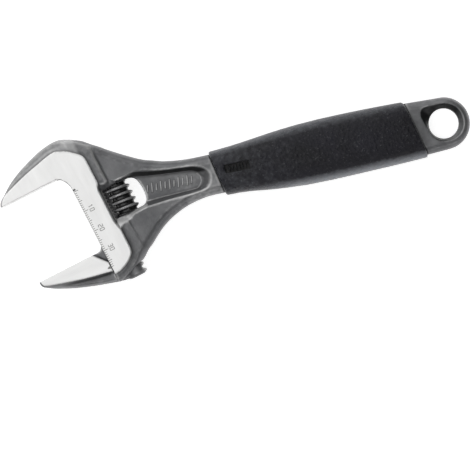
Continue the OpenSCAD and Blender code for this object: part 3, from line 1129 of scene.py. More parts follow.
    def carve(self) -> tuple[Block, Array, Array, Array]:
        """Carves the whole body.

        Returns:
            The block, the field of the solid, and the plan of its ground face and of its outside.
        """
        b = Block((-209, -43.5, 0), (14.5, 30.5, self.adj.half + 1.2), self.step)
        u, v = self.head.to_head(b.x, b.y)
        top, plan, pad = self.height(b, u, v)
        top, window, full = self.cut_features(b, u, v, top)
        solid = b.relief(top)
        solid = soft_max(solid, b.wall(plan), 1.5)
        solid = np.maximum(solid, (np.abs(b.z) - self.adj.half)[None, None, :])
        band = self.grip_band(b.x, b.y)
        solid = np.maximum(solid, b.wall(-band))
        tang = soft_max(np.maximum(np.abs(b.y) - self.tang_y, np.maximum(b.x + 9.5, -112 - b.x))[:, :, None],
                        (np.abs(b.z) - self.tang_z)[None, None, :], 0.8)
        solid = np.minimum(solid, tang)
        a = self.adj
        solid = np.maximum(solid, b.wall(-distance_to(self.notch(), u, v)))
        z = b.z[None, None, :]
        lip_z = a.bar_r * 0.91
        lip_u = a.worm_u - math.sqrt((a.worm_r + 0.25) ** 2 - lip_z**2)
        solid = np.maximum(solid, b.wall(-window))
        side = lip_u - 0.4
        strip = distance_to([(-2.6, 7.6), (side, 7.6), (side, 2.1), (lip_u, 2.1), (lip_u, -12.3),
            (side, -12.3), (side, -18), (-2.6, -18)], u, v)
        lip = np.maximum(np.maximum(b.wall(strip), b.relief(full)), z + lip_z)
        solid = np.minimum(solid, lip)
        bore = np.sqrt((u[:, :, None] - a.bar_u) ** 2 + z**2) - (a.bar_r + 0.16)
        near = (b.x < -120)[:, :, None]
        solid = np.where(near, np.maximum(solid, -bore), solid)
        slot = [(-15.1, 0), (-15.1, a.face_v + 0.3), (-12.7, a.face_v + 0.7), (-11.9, a.face_v + 1.6),
            (-11.2, 18.8), (a.bar_u, 18.8), (a.bar_u, -80), (-15.1, -80)]
        gap = np.maximum(distance_to(slot, u, v)[:, :, None], np.abs(z) - (a.web_half + 0.16))
        solid = np.where(near, np.maximum(solid, -gap), solid)
        spot = np.sqrt((u[:, :, None] - a.worm_u) ** 2 + z**2)
        sink = np.maximum(spot - 2.3, v[:, :, None] + 27.9)
        shaft = np.maximum(spot - 1.6, v[:, :, None] - 6.5)
        solid = np.where(near, np.maximum(solid, -np.minimum(sink, shaft)), solid)
        hole = self.hole_r - np.hypot(b.x, b.y)
        return b, np.maximum(solid, b.wall(hole)), pad, plan

    def build(self, finish: bpy.types.Material) -> bpy.types.Object:
        """Makes the body's mesh, stores what its material reads, and places it in the frame.

        Args:
            finish: its material.

        Returns:
            The piece, placed in the frame.
        """
        b, solid, pad, plan = self.carve()
        verts, faces = b.net(solid)
        a = self.adj
        u, v = self.head.to_head(verts[:, 0], verts[:, 1])
        wall = np.where(u < -9, np.abs(distance_to(self.notch(), u, v)), 9.0)
        verts[:, 2] = crisp(verts[:, 2], a.half, wall < 0.35)
        obj = make_piece("forged_body", verts, faces)
        edge_marks(obj, b, solid, verts)
        flat = np.clip((np.abs(verts[:, 2]) - (a.half - 0.16)) / 0.1, 0, 1)
        jaw = np.clip(1 - np.abs(v - a.face_v) / 0.3, 0, 1) * (u < -15)
        front = np.clip(1 - np.abs(u - a.front_u) / 0.3, 0, 1) * (v < 9) * (np.abs(verts[:, 2]) > a.web_half)
        store(obj, "ground", np.maximum(flat, np.maximum(jaw, front)))
        rim = self.sample_line(b, pad, verts)
        forged = 1 - np.maximum(flat, np.maximum(jaw, front))
        # Painted light: the shoulder beside the ground face, the fixed jaw's upper band and the shank's lower
        # edge near the grip are made paler, as painted light and painted highlight.
        raised = np.clip((np.abs(verts[:, 2]) - 6.0) / 0.4, 0, 1)
        upper = np.clip((0.5 - u) / 1.5, 0, 1) * (v > 10) * (np.abs(verts[:, 2]) > 2.5)
        add_to(obj, "edge", (0.24 * raised + 0.32 * upper) * forged)
        lower = np.clip((5 - verts[:, 1]) / 3, 0, 1) * (verts[:, 0] < -100)
        add_to(obj, "edge", 0.25 * np.clip((verts[:, 0] + 142) / 24, 0, 1) * lower * forged)
        # Painted shade in a band just off the edge of the ground face.
        add_to(obj, "cavity",
            0.55 * np.clip(1 - np.abs(rim - 0.4) / 0.55, 0, 1) * (np.abs(verts[:, 2]) > 6.2))
        self.soften_joins(obj, verts[:, 0], verts[:, 1])
        self.brighten_chamfer(obj, u, v, verts[:, 2])
        self.darken_pockets(obj, verts[:, 0], verts[:, 1])
        obj.data.materials.append(finish)
        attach(obj, "body")
        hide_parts("body")
        return obj

    def sample_line(self, b: Block, pad: Array, verts: Array) -> Array:
        """Distance of each vertex from the edge of the ground face, in millimetres.

        Args:
            b: the block the body was carved in.
            pad: plan of the ground face at the sample points.
            verts: the vertices.

        Returns:
            The distance, exact near the edge and 9 elsewhere.
        """
        i = np.clip(np.round((verts[:, 0] - b.low[0]) / b.step).astype(int), 0, pad.shape[0] - 1)
        j = np.clip(np.round((verts[:, 1] - b.low[1]) / b.step).astype(int), 0, pad.shape[1] - 1)
        near = pad[i, j] < 3
        u, v = self.head.to_head(verts[:, 0], verts[:, 1])
        exact = np.full(len(verts), 9.0)
        exact[near] = distance_to(self.pad(), u[near], v[near])
        return exact

    def soften_joins(self, obj: bpy.types.Object, x: Array, y: Array) -> None:
        """Takes the painted highlight off the edges beside the grip and round the hanging hole, and paints
        shade beside the grip and on the eye's flat.

        Args:
            obj: the body.
            x: first row coordinate of each vertex.
            y: second row coordinate of each vertex.
        """
        # Painted shade beside the grip and on the eye's flat; the painted edge highlight is cut there.
        beside = np.clip(1.25 - np.abs(self.grip_band(x, y)) / 0.8, 0, 1)
        hole = 0.55 * (x > -16) * (np.hypot(x, y) < 11)
        rewrite(obj, "edge", stored(obj, "edge") * (1 - np.maximum(beside, hole)))
        add_to(obj, "cavity", 0.8 * beside + 0.14 * np.clip((-4 - x) / 6, 0, 1) * (x > -16))

    def darken_pockets(self, obj: bpy.types.Object, x: Array, y: Array) -> None:
        """Paints shade in the hanging hole's sunk surround and on the panel's upper wall, and paints a
        highlight line along the lower edge of the panel's floor.

        Args:
            obj: the body.
            x: first row coordinate of each vertex.
            y: second row coordinate of each vertex.
        """
        ring = between(np.hypot(x, y) - self.hole_r, np.where(x > -15, distance_to(self.funnel(), x, y), 9.0))
        # Painted shade in the sunk surround of the hanging hole and on the panel's upper wall.
        pocket = 1.0 * np.clip((1.4 - ring) / 0.5, 0, 1) * np.clip((8.6 - x + 0.6 * y) / 5, 0, 1) * (x > -12)
        rim, floor = self.recess()
        panel = between(distance_to(floor, x, y), distance_to(rim, x, y))
        wall = 0.95 * np.clip((1 - panel) / 0.15, 0, 1) * np.clip(panel / 0.3, 0,
            1) * np.clip((y - 1.0) / 1.0, 0, 1) * (x < -100)
        rewrite(obj, "cavity", np.maximum(stored(obj, "cavity"), np.maximum(pocket, wall)))
        # Painted highlight line along the lower edge of the panel's floor.
        line = np.clip(1 - np.abs(distance_to(floor, x, y)) / 0.45, 0,
            1) * (x < -100) * (x > -148) * (y < 1.5)
        add_to(obj, "edge", 0.62 * line)

    def brighten_chamfer(self, obj: bpy.types.Object, u: Array, v: Array, z: Array) -> None:
        """Paints the window's lower chamfer bright, a painted highlight where it faces the light, and takes
        the painted shade off it.

        Args:
            obj: the body.
            u: first head coordinate of each vertex.
            v: second head coordinate of each vertex.
            z: third coordinate of each vertex.
        """
        inner, outer = self.window()
        far = np.hypot(u - 8, v + 5) > 20
        inside = np.where(far, 9.0, distance_to(outer, u, v))
        # Painted highlight on the window's lower chamfer, which faces the light.
        low = np.where(u > 2.1, v + 12.5, v + 12.5 + 1.5 * (2.1 - u))
        lit_chamfer = np.clip(-inside / 0.25, 0, 1) * np.clip(-low / 0.3, 0, 1) * (np.abs(z) > 3.5) * (u < 17)
        rewrite(obj, "edge", np.maximum(stored(obj, "edge"), 1.15 * lit_chamfer))
        rewrite(obj, "cavity", stored(obj, "cavity") * (1 - lit_chamfer))


def add_to(obj: bpy.types.Object, name: str, values: Array) -> None:
    """Adds to one number per vertex that a mesh already keeps."""
    rewrite(obj, name, stored(obj, name) + values)


def crisp(z: Array, half: float, where: Array) -> Array:
    """Pulls vertices close to the ground sides out to them, where a ground edge is sharp."""
    near = where & (np.abs(z) > half - 0.3)
    return np.where(near, np.sign(z) * half, z)


def edge_marks(obj: bpy.types.Object, b: Block, solid: Array, verts: Array) -> None:
    """Stores how proud and how enclosed each vertex is: edge wear plus painted highlight on proud edges,
    painted shade in hollows.

    Args:
        obj: the mesh.
        b: the block it was carved in.
        solid: its field.
        verts: its vertices in the block's axes.
    """
    proud = b.sample(spread(np.clip(solid, -3, 3), 2), verts)
    normals = np.zeros(len(verts) * 3, np.float32)
    obj.data.vertices.foreach_get("normal", normals)
    # Painted highlight: edges facing +y, towards the light, keep the full edge value; edges facing away keep
    # a quarter of it.
    lit = 0.25 + 0.75 * np.clip((normals[1::3] + 0.32) / 0.3, 0, 1)
    store(obj, "edge", np.clip(lit * proud / (0.5 * b.step), -1, 1.5))
    # Painted shade: enclosed hollows get a high cavity value and render darker.
    closed = b.sample(spread((solid < 0).astype(np.float32), 5), verts)
    store(obj, "cavity", np.clip((closed - 0.54) / 0.22, 0, 1))


@dataclass
class MovingJaw:
    """The moving jaw: jaw block, web and round toothed bar."""

    head: HeadFrame
    adj: Adjuster
    step: float = 0.3
    bar_low: float = -40.1

    def ground_line(self) -> list[Point]:
        """Outline of the jaw's ground side, in head axes.

        Returns:
            The outline, corner by corner.
        """
        f = self.adj.move_v
        line = curve([(-43.4, f - 2.2), (-41.5, f - 2.85), (-37.8, f - 4.0), (-34.7, f - 4.9),
            (-29.7, f - 6.35), (-24.7, f - 7.65), (-19.8, f - 8.8), (-14.8, f - 9.75), (-10.9, f - 10.5),
            (-6, f - 11.3)], 3)
        return [(-50, f + 3), (-50, f - 2.2)] + line + [(-4, f - 11.7), (-4, f + 3)]

    def carve(self) -> tuple[Block, Array]:
        """Carves the jaw in head axes at its fully open place.

        Returns:
            The block and the field of the solid.
        """
        a = self.adj
        f = a.move_v
        b = Block((-44.6, -41.6, 0), (5.2, f + 15.6, a.half + 1.1), self.step)
        u, v = b.x, b.y
        z = b.z[None, None, :]
        edge = curve([(-43, f + 3), (-42.9, f - 1), (-42.5, f - 2.4), (-41.8, f - 3.4), (-38, f - 5.85),
            (-35, f - 7.4), (-30, f - 9.75), (-25, f - 11.65),
                      (-20, f - 13.4), (-15, f - 14.9), (-8, f - 16.6)], 3)
        plan = distance_to(edge + [(-4, f - 17), (-4, f + 3)], u, v)
        pad = distance_to(self.ground_line(), u, v)
        band = soft_min(5.5 + 0.06 * pad, 3.4 + 1.9 * (-plan), 0.9)
        top = np.maximum(band, a.half - np.maximum(1.7 * pad, 0))
        solid = soft_max(b.relief(np.minimum(top, a.half).astype(np.float32)), b.wall(plan), 1.4)
        solid = np.maximum(solid, (np.abs(b.z) - a.half)[None, None, :])
        back = a.front_u - 0.15
        sharp = distance_to([(-60, f), (-15.8, f), (-15.4, f - 0.4), (back, f - 6.3), (back, f - 40),
            (-60, f - 40)], u, v)
        solid = np.maximum(solid, b.wall(sharp))
        low = self.bar_low
        web_line = [(-24, f - 3)] + curve([(-15.3, f - 0.15), (-12.3, f + 0.1), (-11.2, f + 1.0),
            (-10.5, f + 2.3)], 3) + [
            (a.bar_u, f + 2.3), (a.bar_u, low + 0.5), (-6, low + 0.8), (-8.4, low + 1.2), (-14, low + 3.4),
            (-24, low + 9)]
        web = soft_max(b.wall(distance_to(web_line, u, v)), np.abs(z) - a.web_half, 0.5)
        solid = soft_min(solid, web, 1.2)
        round_r = np.sqrt((u[:, :, None] - a.bar_u) ** 2 + z**2) - a.bar_r
        ends = np.maximum(low - v, v - (f + 13.95))[:, :, None]
        bar = soft_max(round_r, ends, 1.4)
        solid = soft_min(solid, bar, 0.6)
        lead = a.pitch / (2 * math.pi * (a.worm_r - a.thread / 2))
        along = v[:, :, None] + lead * z - (a.crest_v + a.pitch / 2)
        off = np.abs(along - a.pitch * np.round(along / a.pitch))
        root_u, tip_u = a.worm_u - a.worm_r - a.mesh_gap, a.bar_u + a.bar_r
        half_w = a.pitch * a.crest_share + a.mesh_gap + 0.03
        half_m = a.pitch * a.root_share + a.mesh_gap + 0.03
        open_w = half_w + (half_m - half_w) * (u[:, :, None] - root_u) / (tip_u - root_u)
        groove = soft_max((off - open_w) * 0.93, root_u - u[:, :, None], 0.35)
        above, across = v[:, :, None] - f, u[:, :, None]
        proud = np.where(across < -15.2, above,
            np.where(across < -6, np.minimum(above, np.abs(z) - a.web_half - 0.06), -9.0))
        return b, np.maximum(np.maximum(solid, -groove), proud)

    def build(self, finish: bpy.types.Material) -> bpy.types.Object:
        """Makes the jaw's mesh and places it in the frame.

        Args:
            finish: its material.

        Returns:
            The piece, placed in the frame.
        """
        b, solid = self.carve()
        verts, faces = b.net(solid)
        f, back = self.adj.move_v, self.adj.front_u - 0.15
        wall = np.minimum(np.abs(verts[:, 1] - f),
            np.where(verts[:, 1] < f - 6, np.abs(verts[:, 0] - back), 9.0))
        inside = distance_to(self.ground_line(), verts[:, 0], verts[:, 1]) < 0.15
        verts[:, 2] = crisp(verts[:, 2], self.adj.half, (wall < 0.3) & inside)
        x, y = self.head.to_row(verts[:, 0], verts[:, 1])
        obj = make_piece("moving_jaw_forging", np.stack([x, y, verts[:, 2]], 1), faces)
        edge_marks(obj, b, solid, verts)
        a = self.adj
        flat = np.clip((np.abs(verts[:, 2]) - (a.half - 0.14)) / 0.1, 0, 1)
        face = np.clip(1 - np.abs(verts[:, 1] - a.move_v) / 0.25, 0, 1) * (verts[:, 0] < -15.6)
        store(obj, "ground", np.maximum(flat, face))
        bar = np.hypot(verts[:, 0] - a.bar_u, verts[:, 2]) < a.bar_r + 0.05
        store(obj, "turned", bar * (verts[:, 1] < a.move_v - 17.6) + bar * (verts[:, 1] > a.move_v + 2.5))
        # Painted shade: a dark band just off the edge of the ground face, on the rounded side.
        rim = distance_to(self.ground_line(), verts[:, 0], verts[:, 1])
        dark = np.clip(1.2 - np.abs(rim - 0.6) / 0.6, 0, 1) * np.clip((verts[:, 0] + 43) / 12, 0, 1)
        add_to(obj, "cavity", 0.6 * dark * (np.abs(verts[:, 2]) > 4.5) * (verts[:, 0] < -10.2))
        obj.data.materials.append(finish)
        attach(obj, "moving_jaw")
        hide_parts("moving_jaw")
        return obj


@dataclass
class Worm:
    """The worm, its pin and the spring in its cup."""

    head: HeadFrame
    adj: Adjuster
    around: int = 128
    rows: int = 176
    pin_r: float = 1.5
    cup_r: float = 2.85
    cup_depth: float = 4.2

    def radius(self, turn: Array, v: Array) -> Array:
        """Radius of the thread surface.

        Args:
            turn: share of a turn round the worm, 0 towards the front face.
            v: place along the worm.

        Returns:
            The radius there.
        """
        a = self.adj
        s = (v - a.crest_v + a.pitch * (turn - 0.25)) / a.pitch
        off = np.abs(s - np.round(s)) * a.pitch
        flank = (a.pitch * a.root_share - off) / (a.pitch * (a.root_share - a.crest_share))
        lift = soft_min(soft_max(flank, 0.0, 0.5), 1.0, 0.7)
        end = np.minimum(v - (a.worm_top - a.worm_length), a.worm_top - v)
        chamfer = np.clip(a.root_r + 0.55 + end * 1.6, None, a.worm_r)
        return np.minimum(a.root_r + a.thread * np.clip(lift, 0, 1), chamfer)

    def build_worm(self, finish: bpy.types.Material) -> bpy.types.Object:
        """Makes the threaded worm with its bore and spring cup.

        Args:
            finish: its material.

        Returns:
            The piece, placed in the frame.
        """
        a = self.adj
        low, top = a.worm_top - a.worm_length, a.worm_top
        turn = np.arange(self.around) / self.around
        shell = Shell()

        def ring(v: float, r: Array | float) -> list[tuple[float, float, float]]:
            """One ring of points at v, in row axes.

            Args:
                v: place along the worm.
                r: radius, one for all or one per point.

            Returns:
                The points.
            """
            r = np.broadcast_to(r, turn.shape)
            out = []
            for t, rr in zip(turn, r):
                u, z = a.worm_u + rr * math.sin(2 * math.pi * t), rr * math.cos(2 * math.pi * t)
                out.append((*self.head.to_row(u, v), z))
            return out

        rings = [ring(low, self.pin_r + 0.1), ring(low, a.root_r - 0.5)]
        for k in range(self.rows + 1):
            v = low + (top - low) * k / self.rows
            rings.append(ring(v, self.radius(turn, np.full(turn.shape, v))))
        rings += [ring(top, a.root_r - 0.5), ring(top, self.cup_r), ring(top - self.cup_depth, self.cup_r),
                  ring(top - self.cup_depth, self.pin_r + 0.1)]
        shell.ring_tube(rings, closed=True)
        obj = shell.piece("threaded_worm")
        reach = np.array([math.hypot(self.head.to_head(p[0], p[1])[0] - a.worm_u, p[2]) for p in shell.verts])
        # Painted highlight on the thread crests through the edge value, and painted shade in the thread
        # valleys through the cavity value.
        crest = np.clip((reach - a.root_r) / a.thread, 0, 1)
        store(obj, "edge", np.clip((crest - 0.5) / 0.3, 0, 1) * 0.9)
        store(obj, "cavity", np.clip(0.35 - 0.8 * crest, 0, 1) * (reach > self.cup_r + 0.3))
        sharpen(obj, 40)
        obj.data.materials.append(finish)
        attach(obj, "worm")
        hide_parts("worm")
        return obj

    def build_spring(self, finish: bpy.types.Material) -> bpy.types.Object:
        """Makes the small coil spring, with its ends closed flat.

        Args:
            finish: its material.

        Returns:
            The piece, placed in the frame.
        """
        a = self.adj
        wire, turns, per_turn, sides = 0.275, 4.5, 30, 12
        r = (self.pin_r + self.cup_r) / 2
        v0, v1 = a.worm_top - self.cup_depth + wire + 0.04, a.worm_top + 0.1 - wire - 0.04
        rings = []
        steps = int(turns * per_turn)
        for j in range(steps + 1):
            s = j / steps
            ease = s - math.sin(2 * math.pi * s) * 0.05
            ang = 2 * math.pi * turns * s
            ring = []
            for i in range(sides):
                b = 2 * math.pi * i / sides
                rr = r + wire * math.cos(b)
                u, z = a.worm_u + rr * math.cos(ang), rr * math.sin(ang)
                ring.append((*self.head.to_row(u, v0 + (v1 - v0) * ease + wire * math.sin(b)), z))
            rings.append(ring)
        shell = Shell()
        shell.ring_tube(rings)
        obj = shell.piece("worm_coil_spring")
        obj.data.materials.append(finish)
        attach(obj, "body")
        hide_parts("worm_spring")
        return obj

    def dress_pin(self, node: bpy.types.Object, finish: bpy.types.Material) -> None:
        """Gives the CAD pin its finish and eases its edges.

        Args:
            node: the CAD model's pin.
            finish: its material.
        """
        node.data.materials.clear()
        node.data.materials.append(finish)
        ease = node.modifiers.new("eased_edges", "BEVEL")
        ease.width = 0.12 * MM
        ease.segments = 2
        ease.limit_method = "ANGLE"
        ease.angle_limit = math.radians(40)


def sharpen(obj: bpy.types.Object, degrees: float) -> None:
    """Keeps the creases over an angle sharp in smooth shading."""
    with bpy.context.temp_override(active_object=obj, object=obj, selected_editable_objects=[obj],
        selected_objects=[obj]):
        bpy.ops.object.shade_smooth_by_angle(angle=math.radians(degrees))


@dataclass
class MouldedGrip:
    """The moulded sleeve over the tang, with slanted ends and a small sunk plaque."""

    thickness: float = 20.0
    around: int = 120
    plaque_x: Point = (-102.4, -90.8)
    plaque_y: Point = (-1.9, 2.2)
    tang_y: float = 7.03
    tang_z: float = 4.03

    def edges(self, x: Array) -> tuple[Array, Array, Array]:
        """Top edge, bottom edge and half thickness of the grip along the handle.

        Args:
            x: places along the handle.

        Returns:
            The three, one number per place.
        """
        xs = [-112, -108, -104, -98, -92, -86, -80, -74, -66, -56, -46, -36, -28, -20, -14, -8]
        tops = [9.6, 9.75, 9.95, 10.35, 10.95, 11.65, 12.35, 12.95, 13.55, 13.95, 14.05, 14.0, 13.85, 13.65,
            13.4, 13.2]
        lows = [-11.2, -11.3, -11.4, -11.5, -11.95, -12.8, -13.5, -14.0, -14.5, -14.6, -14.5, -14.3, -14.15,
            -13.95, -13.7, -13.5]
        thick = [0.84, 0.86, 0.88, 0.9, 0.92, 0.94, 0.96, 0.98, 0.99, 1.0, 1.0, 0.99, 0.97, 0.94, 0.9, 0.87]
        return np.interp(x, xs, tops), np.interp(x, xs, lows), np.interp(x, xs, thick) * self.thickness / 2

    def stations(self) -> Array:
        """Places along the grip, closer together at its ends and at the plaque.

        Returns:
            Shares of its length, from 0 to 1.
        """
        ends = np.concatenate([np.linspace(0, 1.6, 9), 98 - np.linspace(0, 1.6, 9)])
        plaque = np.arange(self.plaque_x[0] + 107.2, self.plaque_x[1] + 109.6, 0.16)
        body = np.arange(2.0, 96.4, 0.8)
        both = np.sort(np.concatenate([ends, plaque,
            body[(body < plaque[0] - 0.3) | (body > plaque[-1] + 0.3)]]))
        return both / 98

    def angles(self) -> Array:
        """Places round the grip, closer together over the plaque.

        Returns:
            The angles in radians.
        """
        base = 2 * np.pi * np.arange(self.around) / self.around
        near = np.pi / 2 + np.arange(-0.42, 0.42, 0.011)
        rest = base[(base < near[0] - 0.02) | (base > near[-1] + 0.02)]
        return np.sort(np.concatenate([rest, near]))

    def build(self, finish: bpy.types.Material) -> bpy.types.Object:
        """Makes the sleeve and places it in the frame.

        Args:
            finish: its material.

        Returns:
            The piece, placed in the frame.
        """
        ang = self.angles()
        us = self.stations()
        c, s = np.cos(ang), np.sin(ang)
        py, pz = np.sign(c) * np.abs(c) ** (2 / 3.5), np.sign(s) * np.abs(s) ** (2 / 2.7)
        rings = []
        for w in us:
            mid_x = GRIP_LEFT[0] + 92.9 * w
            from_end = min(w, 1 - w) * 95.0
            ease = 1.1 * (1 - math.sqrt(max(0.0, 1 - (1 - min(from_end, 1.1) / 1.1) ** 2)))
            y = np.zeros_like(ang)
            x = np.full_like(ang, mid_x)
            for _ in range(3):
                top, low, half = self.edges(x)
                y = (top + low) / 2 + ((top - low) / 2 - ease) * py
                left, right = GRIP_LEFT[0] - GRIP_LEFT[1] * y, GRIP_RIGHT[0] - GRIP_RIGHT[1] * y
                x = left + (right - left) * w
            z = (half - ease) * pz
            z = z - np.where(z > 0, self.plaque_depth(x, y), 0)
            rings.append([(float(a), float(b), float(d)) for a, b, d in zip(x, y, z)])
        inner = []
        for end, (at, slope) in zip((rings[0], rings[-1]), (GRIP_LEFT, GRIP_RIGHT)):
            e = np.array(end)
            k = 1 / np.maximum(np.abs(e[:, 1]) / self.tang_y, np.abs(e[:, 2]) / self.tang_z)
            inner.append([(at - slope * float(p[1] * q), float(p[1] * q), float(p[2] * q)) for p,
                q in zip(e, k)])
        shell = Shell()
        shell.ring_tube([inner[0]] + rings + [inner[1]], closed=True)
        obj = shell.piece("moulded_grip")
        p = np.array(shell.verts)
        # Painted shade in the sunk plaque; painted highlight on the rounded sides and painted light towards
        # the head end.
        sunk = np.where(p[:, 2] > 0, self.plaque_depth(p[:, 0], p[:, 1]), 0)
        store(obj, "cavity", np.clip(sunk / 0.35, 0, 1) * 1.2)
        store(obj, "edge", self.rubbed(p))
        sharpen(obj, 55)
        obj.data.materials.append(finish)
        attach(obj, "body")
        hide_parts("grip")
        return obj

    def rubbed(self, p: Array) -> Array:
        """How far the rounded sides and the head end of the grip are painted paler, as painted highlight and
        painted light, for each vertex.

        Args:
            p: the vertices.

        Returns:
            The share of painted light.
        """
        top, low, half = self.edges(p[:, 0])
        across = (p[:, 1] - (top + low) / 2) / ((top - low) / 2)
        upper = 0.55 * np.clip((across - 0.62) / 0.3, 0, 1) * np.clip(1.1 - (p[:, 0] + 100) / 160, 0, 1)
        lower = 1.05 * np.clip((-across - 0.72) / 0.2, 0, 1) * np.clip(0.3 + (p[:, 0] + 88) / 28, 0, 1)
        front = 0.135 * np.clip((-58 - p[:, 0]) / 40, 0, 1)
        corner = np.clip((np.abs(p[:, 2]) / half - 0.08) / 0.3, 0, 1)
        return np.maximum(np.maximum(upper, lower) * corner, front)

    def plaque_depth(self, x: Array, y: Array) -> Array:
        """How far the plaque is sunk at a place on the front of the grip.

        Args:
            x: first row coordinate.
            y: second row coordinate.

        Returns:
            The depth in millimetres.
        """
        (x0, x1), (y0, y1) = self.plaque_x, self.plaque_y
        inside = np.minimum(np.minimum(x - x0, x1 - x), np.minimum(y - y0, y1 - y))
        depth = 0.7 * np.clip(inside / 0.3, 0, 1)
        field_in = np.minimum(np.minimum(x - x0, x1 - x) - 1.3, np.minimum(y - y0, y1 - y) - 0.9)
        rib = np.abs((x - x0) / 1.5 % 1 - 0.5) * 1.5
        raised = np.clip(field_in / 0.2, 0, 1) * np.clip((0.42 - rib) / 0.16, 0, 1)
        return depth - 0.55 * raised


@dataclass
class Markings:
    """Millimetre scale, numerals, index marks and raised ribs."""

    head: HeadFrame
    adj: Adjuster
    zero_v: float = 7.2
    lift: float = 0.02
    sink: float = 0.06

    def strip(self, shell: Shell, a: Point, b: Point, width: float, z0: float, z1: float) -> None:
        """Adds one thin bar between two points, in head axes.

        Args:
            shell: what the bar is added to.
            a: one end.
            b: the other end.
            width: the bar's width.
            z0: where it starts, below the surface.
            z1: its top.
        """
        d = np.array(b, float) - np.array(a, float)
        n = np.array([-d[1], d[0]]) / max(float(np.hypot(*d)), 1e-6) * width / 2
        flat = [np.array(a) + n, np.array(a) - n, np.array(b) - n, np.array(b) + n]
        rings = [[(*self.head.to_row(float(p[0]), float(p[1])), z) for p in flat] for z in (z0, z1)]
        shell.ring_tube(rings)

    def scale(self, finish: bpy.types.Material) -> bpy.types.Object:
        """Makes the printed scale on the front of the head.

        Args:
            finish: its material.

        Returns:
            The piece, placed in the frame.
        """
        shell = Shell()
        top = self.adj.half
        z0, z1 = top - self.sink, top + self.lift
        edge = self.adj.front_u + 0.15
        for k in range(int(self.adj.travel) + 1):
            v = self.zero_v - k
            length = 2.2 if k % 10 == 0 else 1.7 if k % 5 == 0 else 1.15
            self.strip(shell, (edge, v), (edge + length, v), 0.24, z0, z1)
        strokes = {"0": [[(0, 0), (1, 0), (1, 2), (0, 2), (0, 0)]], "1": [[(0.5, 0), (0.5, 2), (0.1, 1.6)]],
                   "2": [[(0, 2), (1, 2), (1, 1.1), (0, 0.9), (0, 0), (1, 0)]],
                   "3": [[(0, 2), (1, 2), (1, 1.05), (0.3, 1.05)], [(1, 1.05), (1, 0), (0, 0)]]}
        for k in (10, 20, 30):
            start = self.zero_v - k + 1.5
            for place, digit in enumerate(str(k)):
                for line in strokes[digit]:
                    for p, q in zip(line, line[1:]):
                        at = [(-7.2 + 1.0 * r[1], start - place * 1.75 - 1.05 * r[0]) for r in (p, q)]
                        self.strip(shell, at[0], at[1], 0.26, z0, z1)
        for v, w in ((self.zero_v + 0.9, 0.7), (self.zero_v + 0.6, 0.4)):
            self.strip(shell, (edge + 0.1, v), (edge + 1.2, v), w, z0, z1)
        return self.finish_piece(shell, "printed_scale", finish, "body", "black_steel")

    def index(self, finish: bpy.types.Material) -> bpy.types.Object:
        """Makes the index mark on the front of the moving jaw.

        Args:
            finish: its material.

        Returns:
            The piece, placed in the frame.
        """
        shell = Shell()
        v = self.zero_v - self.adj.travel
        z0, z1 = self.adj.half - self.sink, self.adj.half + self.lift
        for off, width in ((0.0, 0.5), (0.45, 0.3), (-0.45, 0.3)):
            self.strip(shell, (-12.1 + abs(off), v + off), (-10.8, v + off), width, z0, z1)
        return self.finish_piece(shell, "index_mark", finish, "moving_jaw", "black_steel")

    def ribs(self, finish: bpy.types.Material) -> bpy.types.Object:
        """Makes the raised ribs on the floor of the shank's panel, on both sides.

        Args:
            finish: their material.

        Returns:
            The piece, placed in the frame.
        """
        shell = Shell()
        for side in (1, -1):
            for k in range(11):
                x = -138.6 + 2.05 * k
                tall = 2.4 if k % 2 else 1.7
                rings = []
                for z, grow in ((2.5, 0.05), (3.2, 0.0), (3.36, -0.14)):
                    ring = []
                    for i in range(16):
                        a = 2 * math.pi * i / 16
                        px = (0.42 + grow) * math.cos(a)
                        py = (0.42 + grow) * math.sin(a) + math.copysign(tall - 0.42,
                            math.sin(a) if i % 8 else 1 if i else -1)
                        ring.append((x + px + 0.35 * py / tall, -0.9 - 0.02 * k + py, side * z))
                    rings.append(ring if side > 0 else ring[::-1])
                shell.ring_tube(rings)
        obj = shell.piece("panel_ribs")
        # Painted highlight on the rib tops and painted shade on their sides.
        tops = np.abs(np.array(shell.verts)[:, 2]) > 3.3
        store(obj, "edge", np.where(tops, 0.62, 0.0))
        store(obj, "cavity", np.where(tops, 0.0, 0.75))
        store(obj, "ground", np.zeros(len(shell.verts)))
        sharpen(obj, 50)
        obj.data.materials.append(finish)
        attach(obj, "body")
        return obj

    @staticmethod
    def finish_piece(shell: Shell, name: str, finish: bpy.types.Material, body: str,
            slot: str) -> bpy.types.Object:
        """Turns gathered bars into a piece that rides on a body.

        Args:
            shell: the bars.
            name: the piece's name.
            finish: its material.
            body: the body it rides on.
            slot: not used.

        Returns:
            The piece, placed in the frame.
        """
        obj = shell.piece(name, smooth=False)
        obj.data.materials.append(finish)
        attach(obj, body)
        return obj


